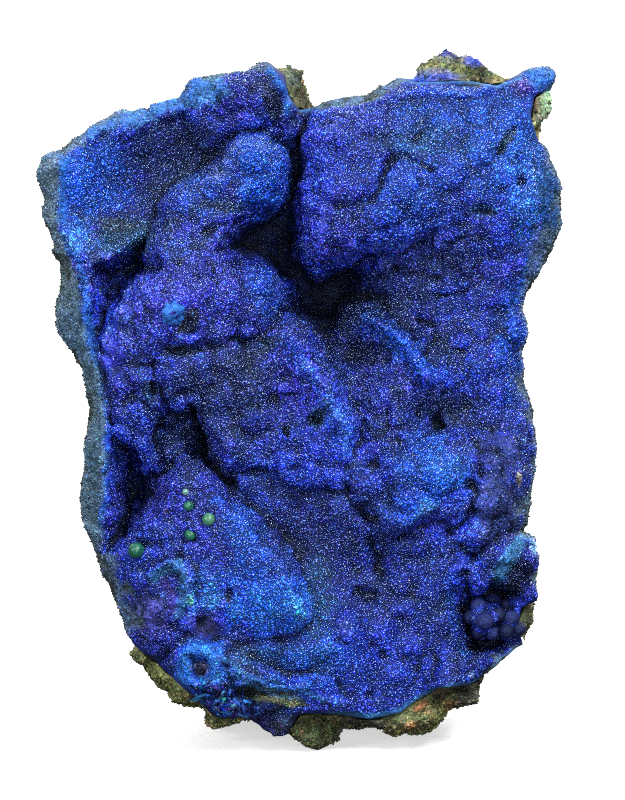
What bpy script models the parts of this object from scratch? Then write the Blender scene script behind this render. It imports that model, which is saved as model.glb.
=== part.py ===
"""Azurite and malachite specimen: a drusy azurite crust on its host rock, with malachite balls.

The specimen is drawn in a face frame. u runs to the right across the face, v runs up the face and
w comes out of it, all in millimetres. The face leans back a little, and the foot is cut flat where
it stands. Places on the face are given in squares of a drawing grid, x to the right and y down.
"""
import math

import bmesh
import bpy
import numpy as np

# Driving dimensions
SQUARE = 0.15            # mm, one square of the drawing grid
GRID_MIDDLE = 300.0      # squares, the x where u is zero
GRID_FOOT = 752.0        # squares, the y where v is FOOT_RISE
FOOT_RISE = 1.2          # mm
LEAN = math.radians(10)  # how far the face leans back
CELL = 0.6               # mm, spacing of the points where the shape is worked out
U_RANGE = (-42.0, 42.0)
V_RANGE = (-3.0, 109.0)
W_RANGE = (-42.0, 17.0)
WIDEST = (-27.0, -6.0)   # mm, depths between which the body keeps its full outline
FRONT_ROUND = 0.016      # per mm, how fast the outline draws in towards the front
BACK_ROUND = 0.030       # per mm, and towards the back
SIDE_WAVES = [(17.0, 1.6, 3), (7.0, 0.7, 4)]   # mm and mm: length and height, then the seed
BACK_WAVES = [(14.0, 1.3, 5), (6.0, 0.5, 6)]
EDGE_WAVES = [(6.0, 0.55, 11, 13), (2.6, 0.22, 12, 14)]  # of the forms' edges, with two seeds
SIDE_RISE = 0.8          # mm, added to the side's waves before their low parts are levelled
CALM_RIM = (-9.0, 12.0)  # mm, depth where the side has no waves, and how far off they are full
LUMPS = [(3.6, 0.7, 21)]  # mm and mm: width and height of the small lumps all over, and the seed
SKIN = 1.6               # mm, how near the surface the small lumps are worked out
LOBE_SHARE = 0.75        # how much of its listed height each lobe has
LOBE_SHAPE = (1.25, 1.5)  # a lobe's height at its middle, and how fast it falls off
RIM_ROUND = 2.5          # mm, rounding between the side and the face
BACK_EDGE_ROUND = 6.0    # mm, and between the side and the back
FORM_ROUND = 0.6         # mm, in the corners between the forms
FORM_SOFT = 2.0          # mm, how rounded each form's sheet is at its listed places
FLOOR_SOFT = 4.0         # mm, the same for the floor, the back and the seam
BACK_SOFT = 6.0
SEAM_SOFT = 8.0
SHEET_EASE = 0.02        # how far a sheet may pass its listed places by
BLOCK_ROUND = 3.0        # mm, rounding between the seam and the crust's edge
BLOCK_CELL = 1.2         # mm, spacing of the points where the crust's block is worked out
BLOCK_MARGIN = 6         # mm, how far the block's points reach past the specimen's
BLOCK_TOP = 3.0          # mm, how far the block stands out past the specimen's points
SEAM_GAP = 0.35          # mm, between the crust and its host rock
SOCKET_GAP = 0.3         # mm, round each malachite ball
BALL_STANDS_OUT = 0.4    # share of its radius that a ball's middle stands out of the crust
BODY_TRIANGLES = 6700
CRUST_BLOCK_TRIANGLES = 420
ORIGIN_SHIFT = (0.1, -22.7)  # mm, brings the middle of the box over the origin
SHARP_EDGE = math.radians(40)
BALL_DETAIL = 2          # how often each ball's faces are divided
RIPPLE_WAVES = 6         # plane waves added up in one ripple
RIPPLE_SUM = 3.2         # brings their sum to about one
NUB_SPOTS = 4096         # places in the table that the lumps' middles are drawn from
NUB_MIX = (73856093, 19349663, 83492791)  # large odd numbers that scatter the table's places
NUB_REACH = 0.8          # share of a cell squared, how far a lump reaches from its middle
SIGN_ROUNDS = 40         # most rounds of filling cells
FAR = 1e9                # a distance beyond any other
LEAST = 1e-12            # keeps a division from failing

# The outline of the whole specimen, clockwise from its top left corner
OUTLINE = [
    (43, 160), (48, 156), (62, 152), (68, 147), (75, 140), (88, 130), (95, 125), (103, 123),
    (115, 117), (120, 112), (140, 110), (151, 113), (152, 106), (165, 102), (180, 97), (183, 88),
    (187, 80), (200, 79), (220, 77), (235, 74), (248, 74), (258, 66), (267, 64), (275, 67),
    (298, 67), (303, 72), (309, 88), (316, 102), (320, 105), (345, 101), (370, 97), (380, 90),
    (390, 86), (397, 79), (405, 76), (413, 77), (415, 68), (420, 63), (433, 55), (440, 50),
    (448, 46), (457, 54), (466, 49), (480, 58), (493, 70), (498, 75), (515, 76), (535, 71),
    (545, 69), (554, 74), (549, 87), (555, 100), (552, 118), (545, 124), (542, 142), (549, 158),
    (555, 176), (558, 185), (557, 195), (560, 222), (553, 240), (543, 260), (537, 272), (525, 290),
    (518, 308), (524, 322), (525, 335), (519, 353), (522, 370), (521, 380), (530, 405), (532, 428),
    (533, 450), (532, 477), (528, 490), (529, 500), (526, 520), (519, 532), (533, 538), (536, 558),
    (533, 580), (536, 600), (536, 613), (537, 622), (528, 636), (521, 643), (505, 655), (490, 668),
    (483, 685), (486, 705), (462, 712), (452, 712), (449, 720), (438, 733), (410, 738), (390, 738),
    (376, 731), (358, 734), (342, 732), (341, 740), (328, 748), (315, 753), (300, 748), (288, 738),
    (272, 736), (268, 730), (258, 725), (245, 725), (225, 731), (212, 731), (203, 727), (196, 712),
    (187, 709), (175, 706), (160, 696), (150, 688), (147, 680), (137, 663), (131, 655), (132, 640),
    (128, 632), (121, 610), (114, 590), (104, 572), (103, 560), (97, 548), (92, 538), (87, 520),
    (81, 500), (85, 478), (87, 465), (88, 440), (92, 420), (93, 410), (88, 390), (84, 370),
    (80, 360), (74, 350), (62, 335), (57, 315), (60, 300), (63, 280), (62, 262), (54, 252),
    (57, 244), (50, 225), (43, 210), (47, 202), (43, 185), (39, 172),
]

# The edge of the azurite crust. Beyond it the host rock is bare.
CRUST_EDGE = [
    (0, 120), (60, 60), (150, 40), (262, 20), (268, 62), (284, 76), (289, 98), (300, 111),
    (320, 106), (332, 60), (385, 40), (400, 78), (418, 84), (440, 83), (470, 82), (496, 88),
    (520, 80), (545, 60), (556, 68), (546, 84), (533, 94), (529, 118), (537, 142), (600, 150),
    (600, 590), (545, 598), (522, 606), (516, 626), (524, 645), (500, 662), (488, 672), (468, 684),
    (440, 686), (415, 700), (400, 712), (370, 718), (320, 711), (270, 708), (245, 714), (230, 721),
    (213, 714), (200, 701), (178, 681), (160, 664), (132, 642), (90, 640), (0, 600),
]

# The forms of the face. Each has the corners of its edge on the grid, how far its edge is rounded
# and how steeply its side falls away, in mm and mm per mm, and its depth at places: x, y, w in mm.
FORMS = {
    "plate": (1.0, 7.0, [
        (20, 150), (70, 130), (110, 100), (150, 95), (186, 82), (200, 120), (205, 150), (200, 190),
        (160, 215), (152, 233), (136, 247), (122, 256), (108, 262), (92, 263), (50, 264),
        (30, 240), (20, 200)], [
        (45, 170, -5), (52, 210, -5), (70, 160, -3), (100, 150, -4.5), (130, 138, -6),
        (165, 130, -9), (195, 130, -11), (80, 190, -4), (110, 190, -6.5), (140, 180, -9.5),
        (175, 170, -12), (155, 212, -8), (60, 235, -3.5), (100, 222, -5), (128, 230, -4.5),
        (78, 245, -1.5), (100, 252, -0.5), (140, 236, -2.5)]),
    "top_block": (1.5, 2.0, [
        (183, 60), (250, 50), (290, 50), (304, 70), (311, 92), (316, 106), (303, 128), (292, 144),
        (276, 136), (255, 130), (235, 138), (215, 140), (200, 130), (188, 112)], [
        (200, 90, -5), (230, 86, -2), (262, 80, -1), (292, 88, -6), (240, 110, -1.5),
        (268, 108, -1), (210, 115, -5), (226, 128, -4), (285, 120, -4)]),
    "column": (2.2, 6.0, [
        (176, 196), (190, 188), (206, 176), (226, 160), (238, 142), (262, 134), (280, 145),
        (285, 165), (283, 186), (272, 202), (258, 213), (240, 224), (227, 240), (222, 256),
        (215, 285), (165, 285), (150, 254), (153, 228), (163, 208)], [
        (260, 160, 5.5), (240, 165, 5), (220, 180, 4), (200, 195, 3), (255, 190, 5), (235, 205, 4.5),
        (210, 225, 4.5), (185, 220, 3.5), (172, 244, 5), (200, 247, 5.5), (190, 268, 7.5),
        (215, 262, 6.5), (278, 150, 3), (275, 185, 3)]),
    "dome": (2.6, 6.0, [
        (164, 256), (152, 274), (134, 290), (117, 306), (109, 322), (100, 344), (98, 364),
        (112, 378), (132, 388), (156, 374), (176, 352), (200, 352), (228, 352), (250, 347),
        (272, 334), (284, 318), (279, 295), (269, 275), (248, 262), (225, 250), (205, 240),
        (180, 240)], [
        (135, 308, 6), (150, 290, 8), (182, 266, 7), (215, 268, 7), (245, 280, 6.5), (268, 302, 4.5),
        (160, 315, 10.5), (188, 298, 11), (220, 310, 9), (250, 320, 6), (200, 332, 9),
        (120, 340, 4), (110, 360, 2.5), (170, 342, 9), (150, 360, 5)]),
    "left_lobes": (1.6, 5.0, [
        (92, 350), (130, 352), (162, 360), (170, 400), (162, 424), (154, 445), (164, 466),
        (152, 469), (136, 455), (122, 442), (106, 436), (98, 400)], [
        (120, 385, 3), (142, 400, 3), (130, 430, 1.5), (145, 455, 0), (150, 380, 4)]),
    "middle_mass": (1.7, 5.0, [
        (160, 340), (200, 332), (230, 336), (255, 334), (278, 326), (294, 334), (312, 350),
        (324, 372), (345, 392), (357, 420), (354, 450), (352, 480), (345, 500), (328, 492),
        (300, 490), (280, 482), (250, 474), (230, 470), (217, 455), (208, 430), (197, 408),
        (180, 412), (166, 402), (154, 380)], [
        (180, 375, 6), (205, 370, 6.5), (235, 368, 6), (262, 358, 5.5), (200, 342, 6), (250, 340, 5),
        (290, 352, 7), (305, 365, 8),
        (322, 390, 9), (340, 420, 8.5), (345, 450, 7.5), (340, 480, 6), (300, 400, 5.5),
        (270, 390, 5.5), (240, 400, 5.5), (215, 402, 5), (225, 440, 4.5), (250, 440, 4),
        (280, 440, 4.5), (312, 450, 5.5), (300, 476, 4), (260, 464, 3.5), (190, 398, 4.5)]),
    "dark_patch": (1.0, 2.0, [
        (158, 400), (200, 400), (212, 440), (225, 475), (200, 485), (160, 470), (150, 440)], [
        (180, 420, -3), (185, 455, -3), (205, 465, -8), (160, 430, -3)]),
    "upper_right": (2.2, 6.0, [
        (299, 160), (301, 130), (306, 116), (320, 90), (345, 85), (385, 70), (415, 76), (440, 80),
        (470, 80), (500, 60), (570, 50), (575, 120), (580, 160), (590, 185), (590, 225), (565, 245),
        (560, 300), (520, 304), (490, 296), (466, 288), (446, 268), (424, 243), (400, 252),
        (385, 250), (370, 246), (355, 253), (335, 264), (316, 267), (303, 256), (296, 236),
        (297, 200)], [
        (312, 130, 2), (332, 116, 1), (345, 140, 5.5), (322, 165, 4.5), (345, 182, 6.5),
        (316, 200, 5.5), (318, 240, 5), (345, 238, 5), (375, 118, 3), (372, 168, 5.5),
        (395, 140, 4.5), (395, 205, 7), (430, 172, 6.5), (420, 220, 5), (450, 100, 2), (460, 140, 5),
        (470, 190, 6), (500, 108, 1.5), (510, 150, 4.5), (500, 200, 5), (530, 200, 3), (550, 200, -2),
        (538, 110, -1), (545, 150, -2), (460, 238, 3.5), (500, 240, 2), (540, 232, -2), (470, 268, 0.5),
        (505, 280, -0.5), (530, 285, -3), (445, 255, 0.5)]),
    "right_recess": (1.5, 2.0, [
        (350, 335), (372, 318), (386, 306), (384, 292), (376, 280), (378, 262), (384, 240),
        (420, 225), (480, 245), (570, 250), (560, 310), (500, 310), (470, 315), (440, 325),
        (425, 345), (412, 350), (395, 335), (370, 334)], [
        (360, 326, -7), (390, 290, -9), (400, 265, -8), (440, 265, -5), (480, 280, -2),
        (520, 290, -4), (420, 300, -5.5), (460, 300, -3), (500, 300, -2), (392, 315, -5)]),
    "right_middle": (1.8, 4.0, [
        (335, 334), (352, 320), (372, 314), (396, 321), (413, 340), (424, 330), (440, 308),
        (466, 296), (500, 286), (560, 280), (560, 450), (500, 446), (470, 440), (440, 445),
        (410, 450), (385, 452), (365, 456), (348, 446), (340, 400), (330, 378), (320, 362),
        (318, 348)], [
        (372, 325, 2), (400, 340, 3.5), (420, 362, 4.5), (430, 385, 3.5), (350, 348, 0),
        (342, 368, 2), (382, 392, 3.5), (370, 412, 3.5), (410, 400, 3.5), (444, 345, 0.5),
        (455, 320, -1), (480, 312, -1), (515, 312, -3), (470, 350, 0.5), (500, 360, 0),
        (522, 360, -3), (460, 385, 0), (490, 395, 0), (518, 400, -2), (442, 412, -1.5),
        (480, 415, -1), (370, 445, 3),
        (410, 440, 4), (500, 440, 0)]),
    "right_dome": (2.2, 4.0, [
        (350, 440), (385, 424), (410, 416), (440, 421), (468, 428), (484, 455), (486, 480),
        (479, 507), (456, 522), (432, 523), (408, 537), (388, 533), (374, 518), (356, 515),
        (340, 500), (338, 460)], [
        (375, 457, 4.5), (345, 470, 5.5), (352, 502, 3), (400, 430, 4), (445, 430, 3),
        (400, 445, 5.5), (430, 445, 6), (442, 470, 9), (465, 460, 6),
        (420, 490, 8), (456, 496, 6.5), (400, 510, 6), (375, 495, 4), (440, 510, 6), (396, 470, 6.5)]),
    "right_lobes": (2.4, 2.6, [
        (464, 432), (500, 426), (555, 424), (555, 480), (545, 530), (515, 536), (497, 550),
        (470, 552), (450, 534), (468, 510), (474, 480)], [
        (490, 458, 3), (510, 450, 2), (492, 500, 5), (515, 480, 1), (510, 515, 0), (475, 532, 2.5),
        (527, 455, -2)]),
    "wedge": (0.9, 5.0, [
        (160, 494), (168, 477), (184, 464), (200, 470), (214, 486), (230, 502), (252, 524),
        (274, 550), (292, 575), (306, 600), (315, 618), (308, 636), (285, 644), (250, 650),
        (225, 652), (200, 646), (185, 644), (165, 652), (130, 660), (100, 640), (90, 600),
        (85, 558), (112, 552), (130, 544), (144, 523), (153, 511)], [
        (165, 486, 5.5), (185, 474, 7), (200, 490, 8.5), (218, 512, 9.5), (242, 535, 10.5),
        (266, 562, 11), (292, 598, 10.5), (306, 616, 9.5), (270, 606, 9), (245, 600, 8),
        (222, 580, 8.5), (200, 560, 8), (175, 530, 7.5), (155, 520, 5.5), (140, 550, 4.5),
        (120, 565, 3), (162, 570, 5.5), (145, 600, 3.5), (122, 600, 1), (150, 628, 3),
        (185, 628, 3.5), (215, 632, 3), (250, 626, 5), (140, 645, -1), (260, 645, 3),
        (225, 648, 2.5), (300, 638, 4.5)]),
    "slope": (1.5, 2.6, [
        (225, 470), (300, 470), (345, 480), (370, 505), (400, 530), (440, 520), (460, 535),
        (478, 560), (457, 580), (450, 610), (455, 640), (468, 662), (478, 682), (455, 692),
        (430, 702), (400, 716), (370, 724), (330, 718), (290, 708), (250, 704), (230, 690),
        (215, 640), (260, 610), (290, 590), (260, 550), (230, 520), (210, 490)], [
        (235, 490, -1), (260, 500, 0), (300, 505, 0), (340, 515, 1.5), (290, 540, -1.5),
        (330, 560, -1.5), (360, 560, -2), (320, 600, -0.5), (350, 590, -2.5), (390, 560, -1.5),
        (420, 550, 1), (445, 560, 0), (380, 620, -0.5), (340, 628, 2), (300, 650, 2.5),
        (400, 640, -2), (430, 620, -1.5), (445, 650, -2), (400, 680, -3), (360, 670, -0.5),
        (320, 680, 1), (280, 690, 0), (440, 682, -4)]),
    "right_rim": (1.0, 6.0, [
        (478, 548), (500, 532), (520, 528), (560, 535), (560, 560), (556, 605), (524, 606),
        (512, 590), (490, 582), (472, 590), (462, 575)], [
        (500, 555, 0.5), (520, 545, -0.5), (532, 570, -2.5), (486, 570, -0.5), (522, 595, -3.5)]),
    "broken_crust": (1.0, 2.6, [
        (163, 656), (175, 642), (200, 636), (226, 641), (242, 655), (266, 667), (300, 671),
        (335, 682), (350, 700), (340, 713), (300, 710), (270, 707), (236, 714), (215, 714),
        (200, 700), (180, 684)], [
        (185, 655, 2), (210, 650, 3.5), (232, 665, 3.5), (260, 677, 3.5), (300, 682, 3.5),
        (330, 696, 1), (230, 700, 0), (195, 682, 0), (260, 702, -1), (290, 703, -0.5)]),
    "low_right_crust": (0.8, 5.0, [
        (445, 636), (460, 650), (480, 655), (500, 650), (530, 636), (530, 655), (497, 670),
        (480, 686), (450, 692), (432, 684)], [(460, 665, 0), (480, 665, -1.5), (503, 655, -4)]),
    "hump": (1.4, 2.2, [
        (390, 90), (400, 50), (440, 30), (475, 30), (510, 50), (524, 76), (500, 95), (470, 90),
        (440, 92), (415, 94)], [(425, 76, -2.5), (455, 62, -3), (478, 66, -4), (498, 80, -2.5)]),
    "left_wall": (0.8, 7.0, [
        (30, 262), (70, 256), (93, 262), (94, 290), (94, 330), (101, 360), (109, 385), (117, 415),
        (119, 435), (118, 470), (115, 512), (108, 549), (80, 560), (50, 500), (60, 440), (60, 400),
        (40, 350), (30, 320)], [
        (62, 300, -3), (85, 290, 2), (90, 330, 2.5), (70, 338, -1), (98, 365, 3), (82, 372, 0),
        (108, 405, 3.5), (113, 440, 4), (96, 440, 1), (111, 490, 3.5), (92, 490, 0), (105, 535, 3),
        (94, 528, 0)]),
    "foot": (2.0, 2.0, [
        (110, 636), (165, 650), (180, 674), (200, 690), (230, 706), (270, 698), (300, 702),
        (340, 708), (400, 708), (440, 680), (490, 660), (520, 690), (500, 740), (440, 765),
        (380, 765), (340, 780), (290, 780), (250, 760), (180, 760), (120, 720), (100, 660)], [
        (145, 668, -5.5), (170, 690, -6), (210, 720, -7), (240, 720, -7), (275, 720, -5),
        (300, 730, -4.5), (320, 742, -5.5), (360, 724, -8), (395, 722, -4.5), (430, 712, -4.5),
        (470, 698, -7.5)]),
    "low_right_lump": (1.2, 2.0, [(514, 598), (560, 590), (560, 640), (530, 655), (512, 642)],
                       [(530, 620, -5)]),
    "right_bump": (1.2, 2.0, [(505, 306), (540, 300), (545, 355), (515, 360), (504, 330)],
                   [(518, 330, -1.5)]),
}
FLOOR = [
    (120, 280, -15), (250, 238, -14), (293, 200, -13), (318, 290, -20), (130, 500, -15),
    (500, 610, -11), (480, 650, -11), (220, 470, -9), (60, 400, -12), (300, 120, -9),
    (150, 160, -14), (450, 300, -13), (450, 500, -10), (300, 650, -10), (530, 250, -12),
    (300, 420, -10), (520, 640, -10),
]

# Rounded lobes on the face: x, y, radius in squares, height in mm
LOBES = [
    (235, 95, 20, 1.0), (262, 92, 14, 0.8), (245, 124, 14, 0.7), (205, 100, 14, 0.8),
    (75, 240, 16, 1.0), (95, 236, 12, 0.8), (80, 172, 20, 0.5), (120, 200, 22, 0.5),
    (258, 158, 24, 1.4), (215, 186, 17, 1.1), (186, 204, 17, 1.0), (242, 196, 15, 0.9),
    (212, 218, 16, 0.8), (184, 238, 17, 0.8), (238, 140, 13, 0.9), (268, 184, 12, 0.8),
    (190, 286, 30, 1.3), (234, 296, 24, 1.0), (146, 302, 20, 1.0), (222, 336, 18, 0.8),
    (124, 314, 14, 1.0), (258, 310, 16, 0.8), (150, 338, 15, 0.8), (256, 336, 14, 0.7),
    (106, 347, 14, 1.2), (128, 350, 14, 1.0), (118, 380, 14, 1.0), (142, 374, 14, 1.0),
    (130, 410, 14, 1.0), (142, 445, 12, 1.0), (150, 398, 12, 0.9), (122, 432, 10, 0.8),
    (180, 378, 15, 0.8), (206, 366, 15, 0.8), (234, 366, 16, 0.8), (262, 362, 15, 0.7),
    (290, 352, 15, 1.0), (308, 370, 14, 1.1), (324, 394, 16, 1.2), (340, 420, 17, 1.2),
    (343, 450, 15, 0.9), (250, 392, 16, 0.8), (278, 388, 14, 0.8), (222, 398, 15, 0.8),
    (255, 422, 16, 0.8), (232, 440, 14, 0.7), (312, 452, 15, 0.8), (284, 458, 15, 0.8),
    (334, 478, 14, 0.9), (196, 400, 11, 0.8),
    (330, 130, 22, 1.2), (340, 188, 26, 1.4), (320, 238, 18, 1.1), (345, 235, 15, 0.8),
    (372, 128, 18, 0.9), (400, 124, 17, 0.8), (380, 212, 20, 1.0), (400, 190, 18, 1.0),
    (425, 205, 20, 1.0), (450, 175, 22, 1.0), (445, 130, 20, 0.9), (480, 150, 22, 0.8),
    (475, 200, 20, 0.8), (505, 170, 18, 0.7), (480, 112, 18, 0.7), (440, 230, 17, 0.8),
    (500, 235, 17, 0.8), (530, 215, 14, 0.8), (545, 205, 12, 0.7), (525, 260, 14, 0.8),
    (448, 62, 16, 1.2), (472, 66, 14, 1.0), (430, 74, 12, 0.8),
    (400, 336, 12, 0.9), (414, 354, 13, 0.9), (427, 374, 13, 0.9), (405, 392, 16, 0.8),
    (378, 398, 16, 0.8), (455, 340, 16, 0.8), (482, 326, 16, 0.8), (500, 352, 16, 0.8),
    (475, 370, 18, 0.8), (506, 392, 16, 0.8), (515, 330, 13, 1.0), (375, 425, 14, 0.8),
    (400, 420, 14, 0.8), (520, 418, 13, 0.8),
    (436, 466, 26, 1.4), (398, 470, 20, 1.0), (455, 496, 18, 0.9), (418, 504, 19, 0.9),
    (374, 482, 15, 0.8), (405, 442, 14, 0.8), (440, 436, 14, 0.8), (490, 502, 20, 1.4),
    (510, 470, 15, 1.0), (488, 462, 15, 1.0), (508, 446, 14, 1.0), (477, 532, 15, 1.0),
    (512, 512, 13, 1.0), (338, 508, 16, 0.9), (505, 556, 15, 0.9), (528, 560, 12, 0.8),
    (182, 482, 14, 0.8), (150, 612, 20, 1.6), (190, 622, 13, 1.1), (209, 628, 12, 1.0),
    (135, 580, 15, 0.8), (170, 596, 13, 0.7), (240, 610, 16, 0.6),
    (400, 580, 16, 1.2), (350, 622, 17, 1.3), (402, 606, 14, 1.0), (432, 590, 15, 0.8),
    (378, 632, 14, 0.8), (412, 642, 15, 0.8), (438, 622, 14, 0.8), (396, 674, 15, 0.8),
    (430, 666, 14, 0.8), (330, 646, 14, 0.8), (305, 655, 14, 0.7), (462, 664, 12, 0.9),
    (242, 657, 13, 0.9), (272, 676, 12, 0.8), (302, 680, 12, 0.7),
    (155, 682, 14, 1.2), (182, 698, 14, 1.2), (215, 722, 14, 1.2), (285, 722, 18, 1.4),
    (314, 738, 16, 1.4), (334, 726, 13, 1.2), (400, 722, 18, 1.4), (432, 714, 16, 1.4),
    (470, 698, 16, 1.4), (530, 620, 13, 1.4), (300, 88, 13, 1.2),
    (176, 312, 8, 2.0),
]

# The lumps of grape-like balls in the hollow on the lower right: x, y, radius in squares, height
GRAPE_FLOOR = -11.0      # mm, depth of the hollow they stand in
GRAPE_LUMPS = [(484, 617, 22, 7.6), (510, 626, 16, 6.4)]

# The balls on those lumps: x, y, radius in squares
GRAPES = [
    (478, 605, 7.5), (493, 602, 8), (471, 618, 7), (484, 621, 8.5), (498, 615, 7.5), (478, 633, 6.5),
    (493, 633, 7), (507, 606, 6), (511, 619, 7), (506, 631, 7), (519, 629, 6),
]

# Pits in the face: x, y, radii across and down in squares, depth in mm
PITS = [
    (232, 150, 5, 6, 1.2), (222, 165, 4, 4, 1.0), (220, 100, 6, 5, 1.2), (153, 392, 6, 9, 2.0),
    (288, 428, 5, 5, 1.8), (318, 418, 10, 12, 2.4), (520, 184, 5.5, 5.5, 1.3), (499, 190, 5, 4, 0.7),
    (480, 212, 12, 6, 1.0), (416, 138, 5, 5, 1.0), (379, 357, 10, 11, 2.8), (437, 420, 8, 7, 3.0),
    (371, 462, 6, 5, 1.2), (400, 445, 6, 5, 1.2), (366, 512, 12, 9, 1.6), (470, 485, 6, 8, 2.0),
    (229, 596, 6, 6, 1.8), (370, 600, 9, 7, 1.6), (385, 655, 8, 6, 1.4), (370, 690, 6, 5, 1.2),
    (200, 667, 9, 9, 2.4), (262, 690, 32, 7, 3.2), (360, 592, 8, 8, 1.4),
    (190, 535, 8, 7, 1.2), (165, 512, 9, 7, 1.2), (143, 543, 8, 7, 1.4), (191, 324, 9, 11, 2.8),
    (204, 612, 12, 12, 2.0),
]

# Creases and crevices: half width in squares, depth in mm, then the points they run through
CREASES = [
    (4.0, 2.2, [(240, 347), (262, 339), (282, 328)]),
    (3.5, 1.8, [(511, 134), (503, 143), (497, 154)]),
    (6.0, 1.9, [(352, 206), (366, 196), (378, 184), (387, 170), (396, 160)]),
    (4.5, 0.9, [(405, 156), (417, 163), (429, 174)]),
    (4.0, 1.8, [(420, 320), (432, 328), (435, 342), (426, 356)]),
    (3.0, 1.2, [(438, 297), (452, 292), (466, 291)]),
    (4.0, 1.8, [(398, 536), (412, 527), (432, 514)]),
    (4.0, 1.8, [(160, 346), (180, 351), (200, 350)]),
    (4.0, 1.6, [(96, 300), (95, 330), (100, 362), (108, 392), (116, 425)]),
    (6.0, 1.6, [(372, 540), (381, 554), (378, 572)]),
    (6.0, 5.0, [(193, 404), (200, 425), (206, 450), (212, 469), (223, 479), (246, 480), (270, 481)]),
    (5.0, 2.0, [(138, 646), (152, 652), (166, 658)]),
    (3.5, 1.5, [(206, 236), (222, 222), (240, 218)]),
]

# Ridges: half width in squares, height in mm, then the points they run through
RIDGES = [
    (7.0, 1.0, [(290, 342), (309, 360), (319, 381), (335, 402), (345, 430), (341, 452)]),
    (6.0, 1.2, [(368, 322), (386, 325), (401, 341), (415, 360), (428, 375)]),
    (5.0, 1.4, [(50, 168), (68, 158), (85, 145), (101, 130), (130, 126), (150, 121), (168, 112),
                (182, 104)]),
    (4.0, 1.4, [(270, 72), (281, 86), (290, 98), (287, 112)]),
    (4.0, 1.4, [(152, 575), (172, 562), (192, 570), (190, 600)]),
    (3.5, 1.0, [(222, 652), (245, 670), (270, 685), (300, 685), (335, 700)]),
    (4.0, 1.0, [(453, 572), (450, 600), (452, 630), (465, 655)]),
    (3.5, 1.0, [(305, 115), (330, 110), (370, 104), (405, 92), (440, 94), (480, 94), (520, 88)]),
]

# The raised ring of crust round the small hole low on the left
RING = (200, 664, 18, 8.0, 2.4)   # x, y, radius, half width in squares, height in mm

# Malachite balls: x, y, radius in squares
MALACHITE_BALLS = [
    (138, 549, 8.0), (192, 533, 6.0), (210, 518, 6.5), (190, 505, 5.0), (187, 491, 3.4),
]

# Depth of the back of the specimen and of the seam behind the crust: x, y, w in mm
BACK = [
    (60, 160, -26), (120, 130, -30), (250, 90, -29), (320, 110, -33), (450, 70, -27),
    (540, 90, -25), (100, 300, -30), (200, 220, -35), (300, 300, -36), (420, 200, -36),
    (540, 220, -28), (110, 500, -30), (220, 420, -37), (360, 450, -38), (510, 420, -31),
    (130, 620, -31), (250, 600, -38), (400, 600, -38), (520, 600, -31), (180, 700, -36),
    (300, 740, -38), (430, 720, -37),
]
SEAM = [
    (40, 160, -12), (250, 80, -11), (430, 90, -9), (540, 100, -10), (60, 300, -14),
    (120, 280, -19), (262, 236, -19), (318, 290, -24), (130, 500, -19), (190, 150, -17),
    (495, 620, -17), (400, 220, -15), (550, 250, -12), (90, 480, -13), (250, 400, -15),
    (380, 380, -16), (530, 420, -13), (110, 600, -12), (250, 560, -14), (400, 560, -14),
    (530, 560, -13), (160, 650, -10), (300, 690, -11), (440, 670, -12),
]


def to_face(x, y):
    """Millimetres across and up the face from a place on the drawing grid."""
    return (np.asarray(x, float) - GRID_MIDDLE) * SQUARE, (
        GRID_FOOT - np.asarray(y, float)) * SQUARE + FOOT_RISE


def to_world(points):
    """Metres in the object's own frame from millimetres in the face frame."""
    u, v, w = points[:, 0], points[:, 1], points[:, 2]
    sine, cosine = math.sin(LEAN), math.cos(LEAN)
    out = np.empty_like(points)
    out[:, 0] = u + ORIGIN_SHIFT[0]
    out[:, 1] = v * sine - w * cosine + ORIGIN_SHIFT[1]
    out[:, 2] = v * cosine + w * sine
    return out * 0.001


def outline_distance(corners, u, v):
    """Distance from an outline over a plane of points, less than zero inside it."""
    pu, pv = to_face([c[0] for c in corners], [c[1] for c in corners])
    nearest = np.full(u.shape, FAR)
    inside = np.zeros(u.shape, bool)
    for i in range(len(pu)):
        au, av, bu, bv = pu[i - 1], pv[i - 1], pu[i], pv[i]
        du, dv = bu - au, bv - av
        along = np.clip(((u - au) * du + (v - av) * dv) / (du * du + dv * dv + LEAST), 0, 1)
        gap = (u - au - along * du) ** 2 + (v - av - along * dv) ** 2
        nearest = np.minimum(nearest, gap)
        crosses = (av > v) != (bv > v)
        inside ^= crosses & (u < du * (v - av) / (dv if dv else LEAST) + au)
    return np.where(inside, -1, 1) * np.sqrt(nearest)


def path_distance(points, u, v):
    """Distance from an open line of points over a plane of points."""
    pu, pv = to_face([p[0] for p in points], [p[1] for p in points])
    nearest = np.full(u.shape, FAR)
    for i in range(1, len(pu)):
        du, dv = pu[i] - pu[i - 1], pv[i] - pv[i - 1]
        along = np.clip(((u - pu[i - 1]) * du + (v - pv[i - 1]) * dv) / (du * du + dv * dv), 0, 1)
        gap = (u - pu[i - 1] - along * du) ** 2 + (v - pv[i - 1] - along * dv) ** 2
        nearest = np.minimum(nearest, gap)
    return np.sqrt(nearest)


def smooth_sheet(places, u, v, soft):
    """A smooth sheet through scattered depths."""
    table = np.array(places, float)
    pu, pv = to_face(table[:, 0], table[:, 1])
    middle = table[:, 2].mean()
    spread = np.hypot(pu[:, None] - pu, pv[:, None] - pv)
    weights = np.linalg.solve(np.sqrt(spread ** 2 + soft ** 2) - SHEET_EASE * np.eye(len(pu)),
                              table[:, 2] - middle)
    sheet = np.full(u.shape, middle)
    for k in range(len(pu)):
        sheet += weights[k] * np.sqrt((u - pu[k]) ** 2 + (v - pv[k]) ** 2 + soft ** 2)
    return sheet


def soft_max(a, b, k):
    """The larger of two values, with the corner between them rounded."""
    mix = np.clip(0.5 + 0.5 * (a - b) / k, 0, 1)
    return b + (a - b) * mix + k * mix * (1 - mix)


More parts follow.
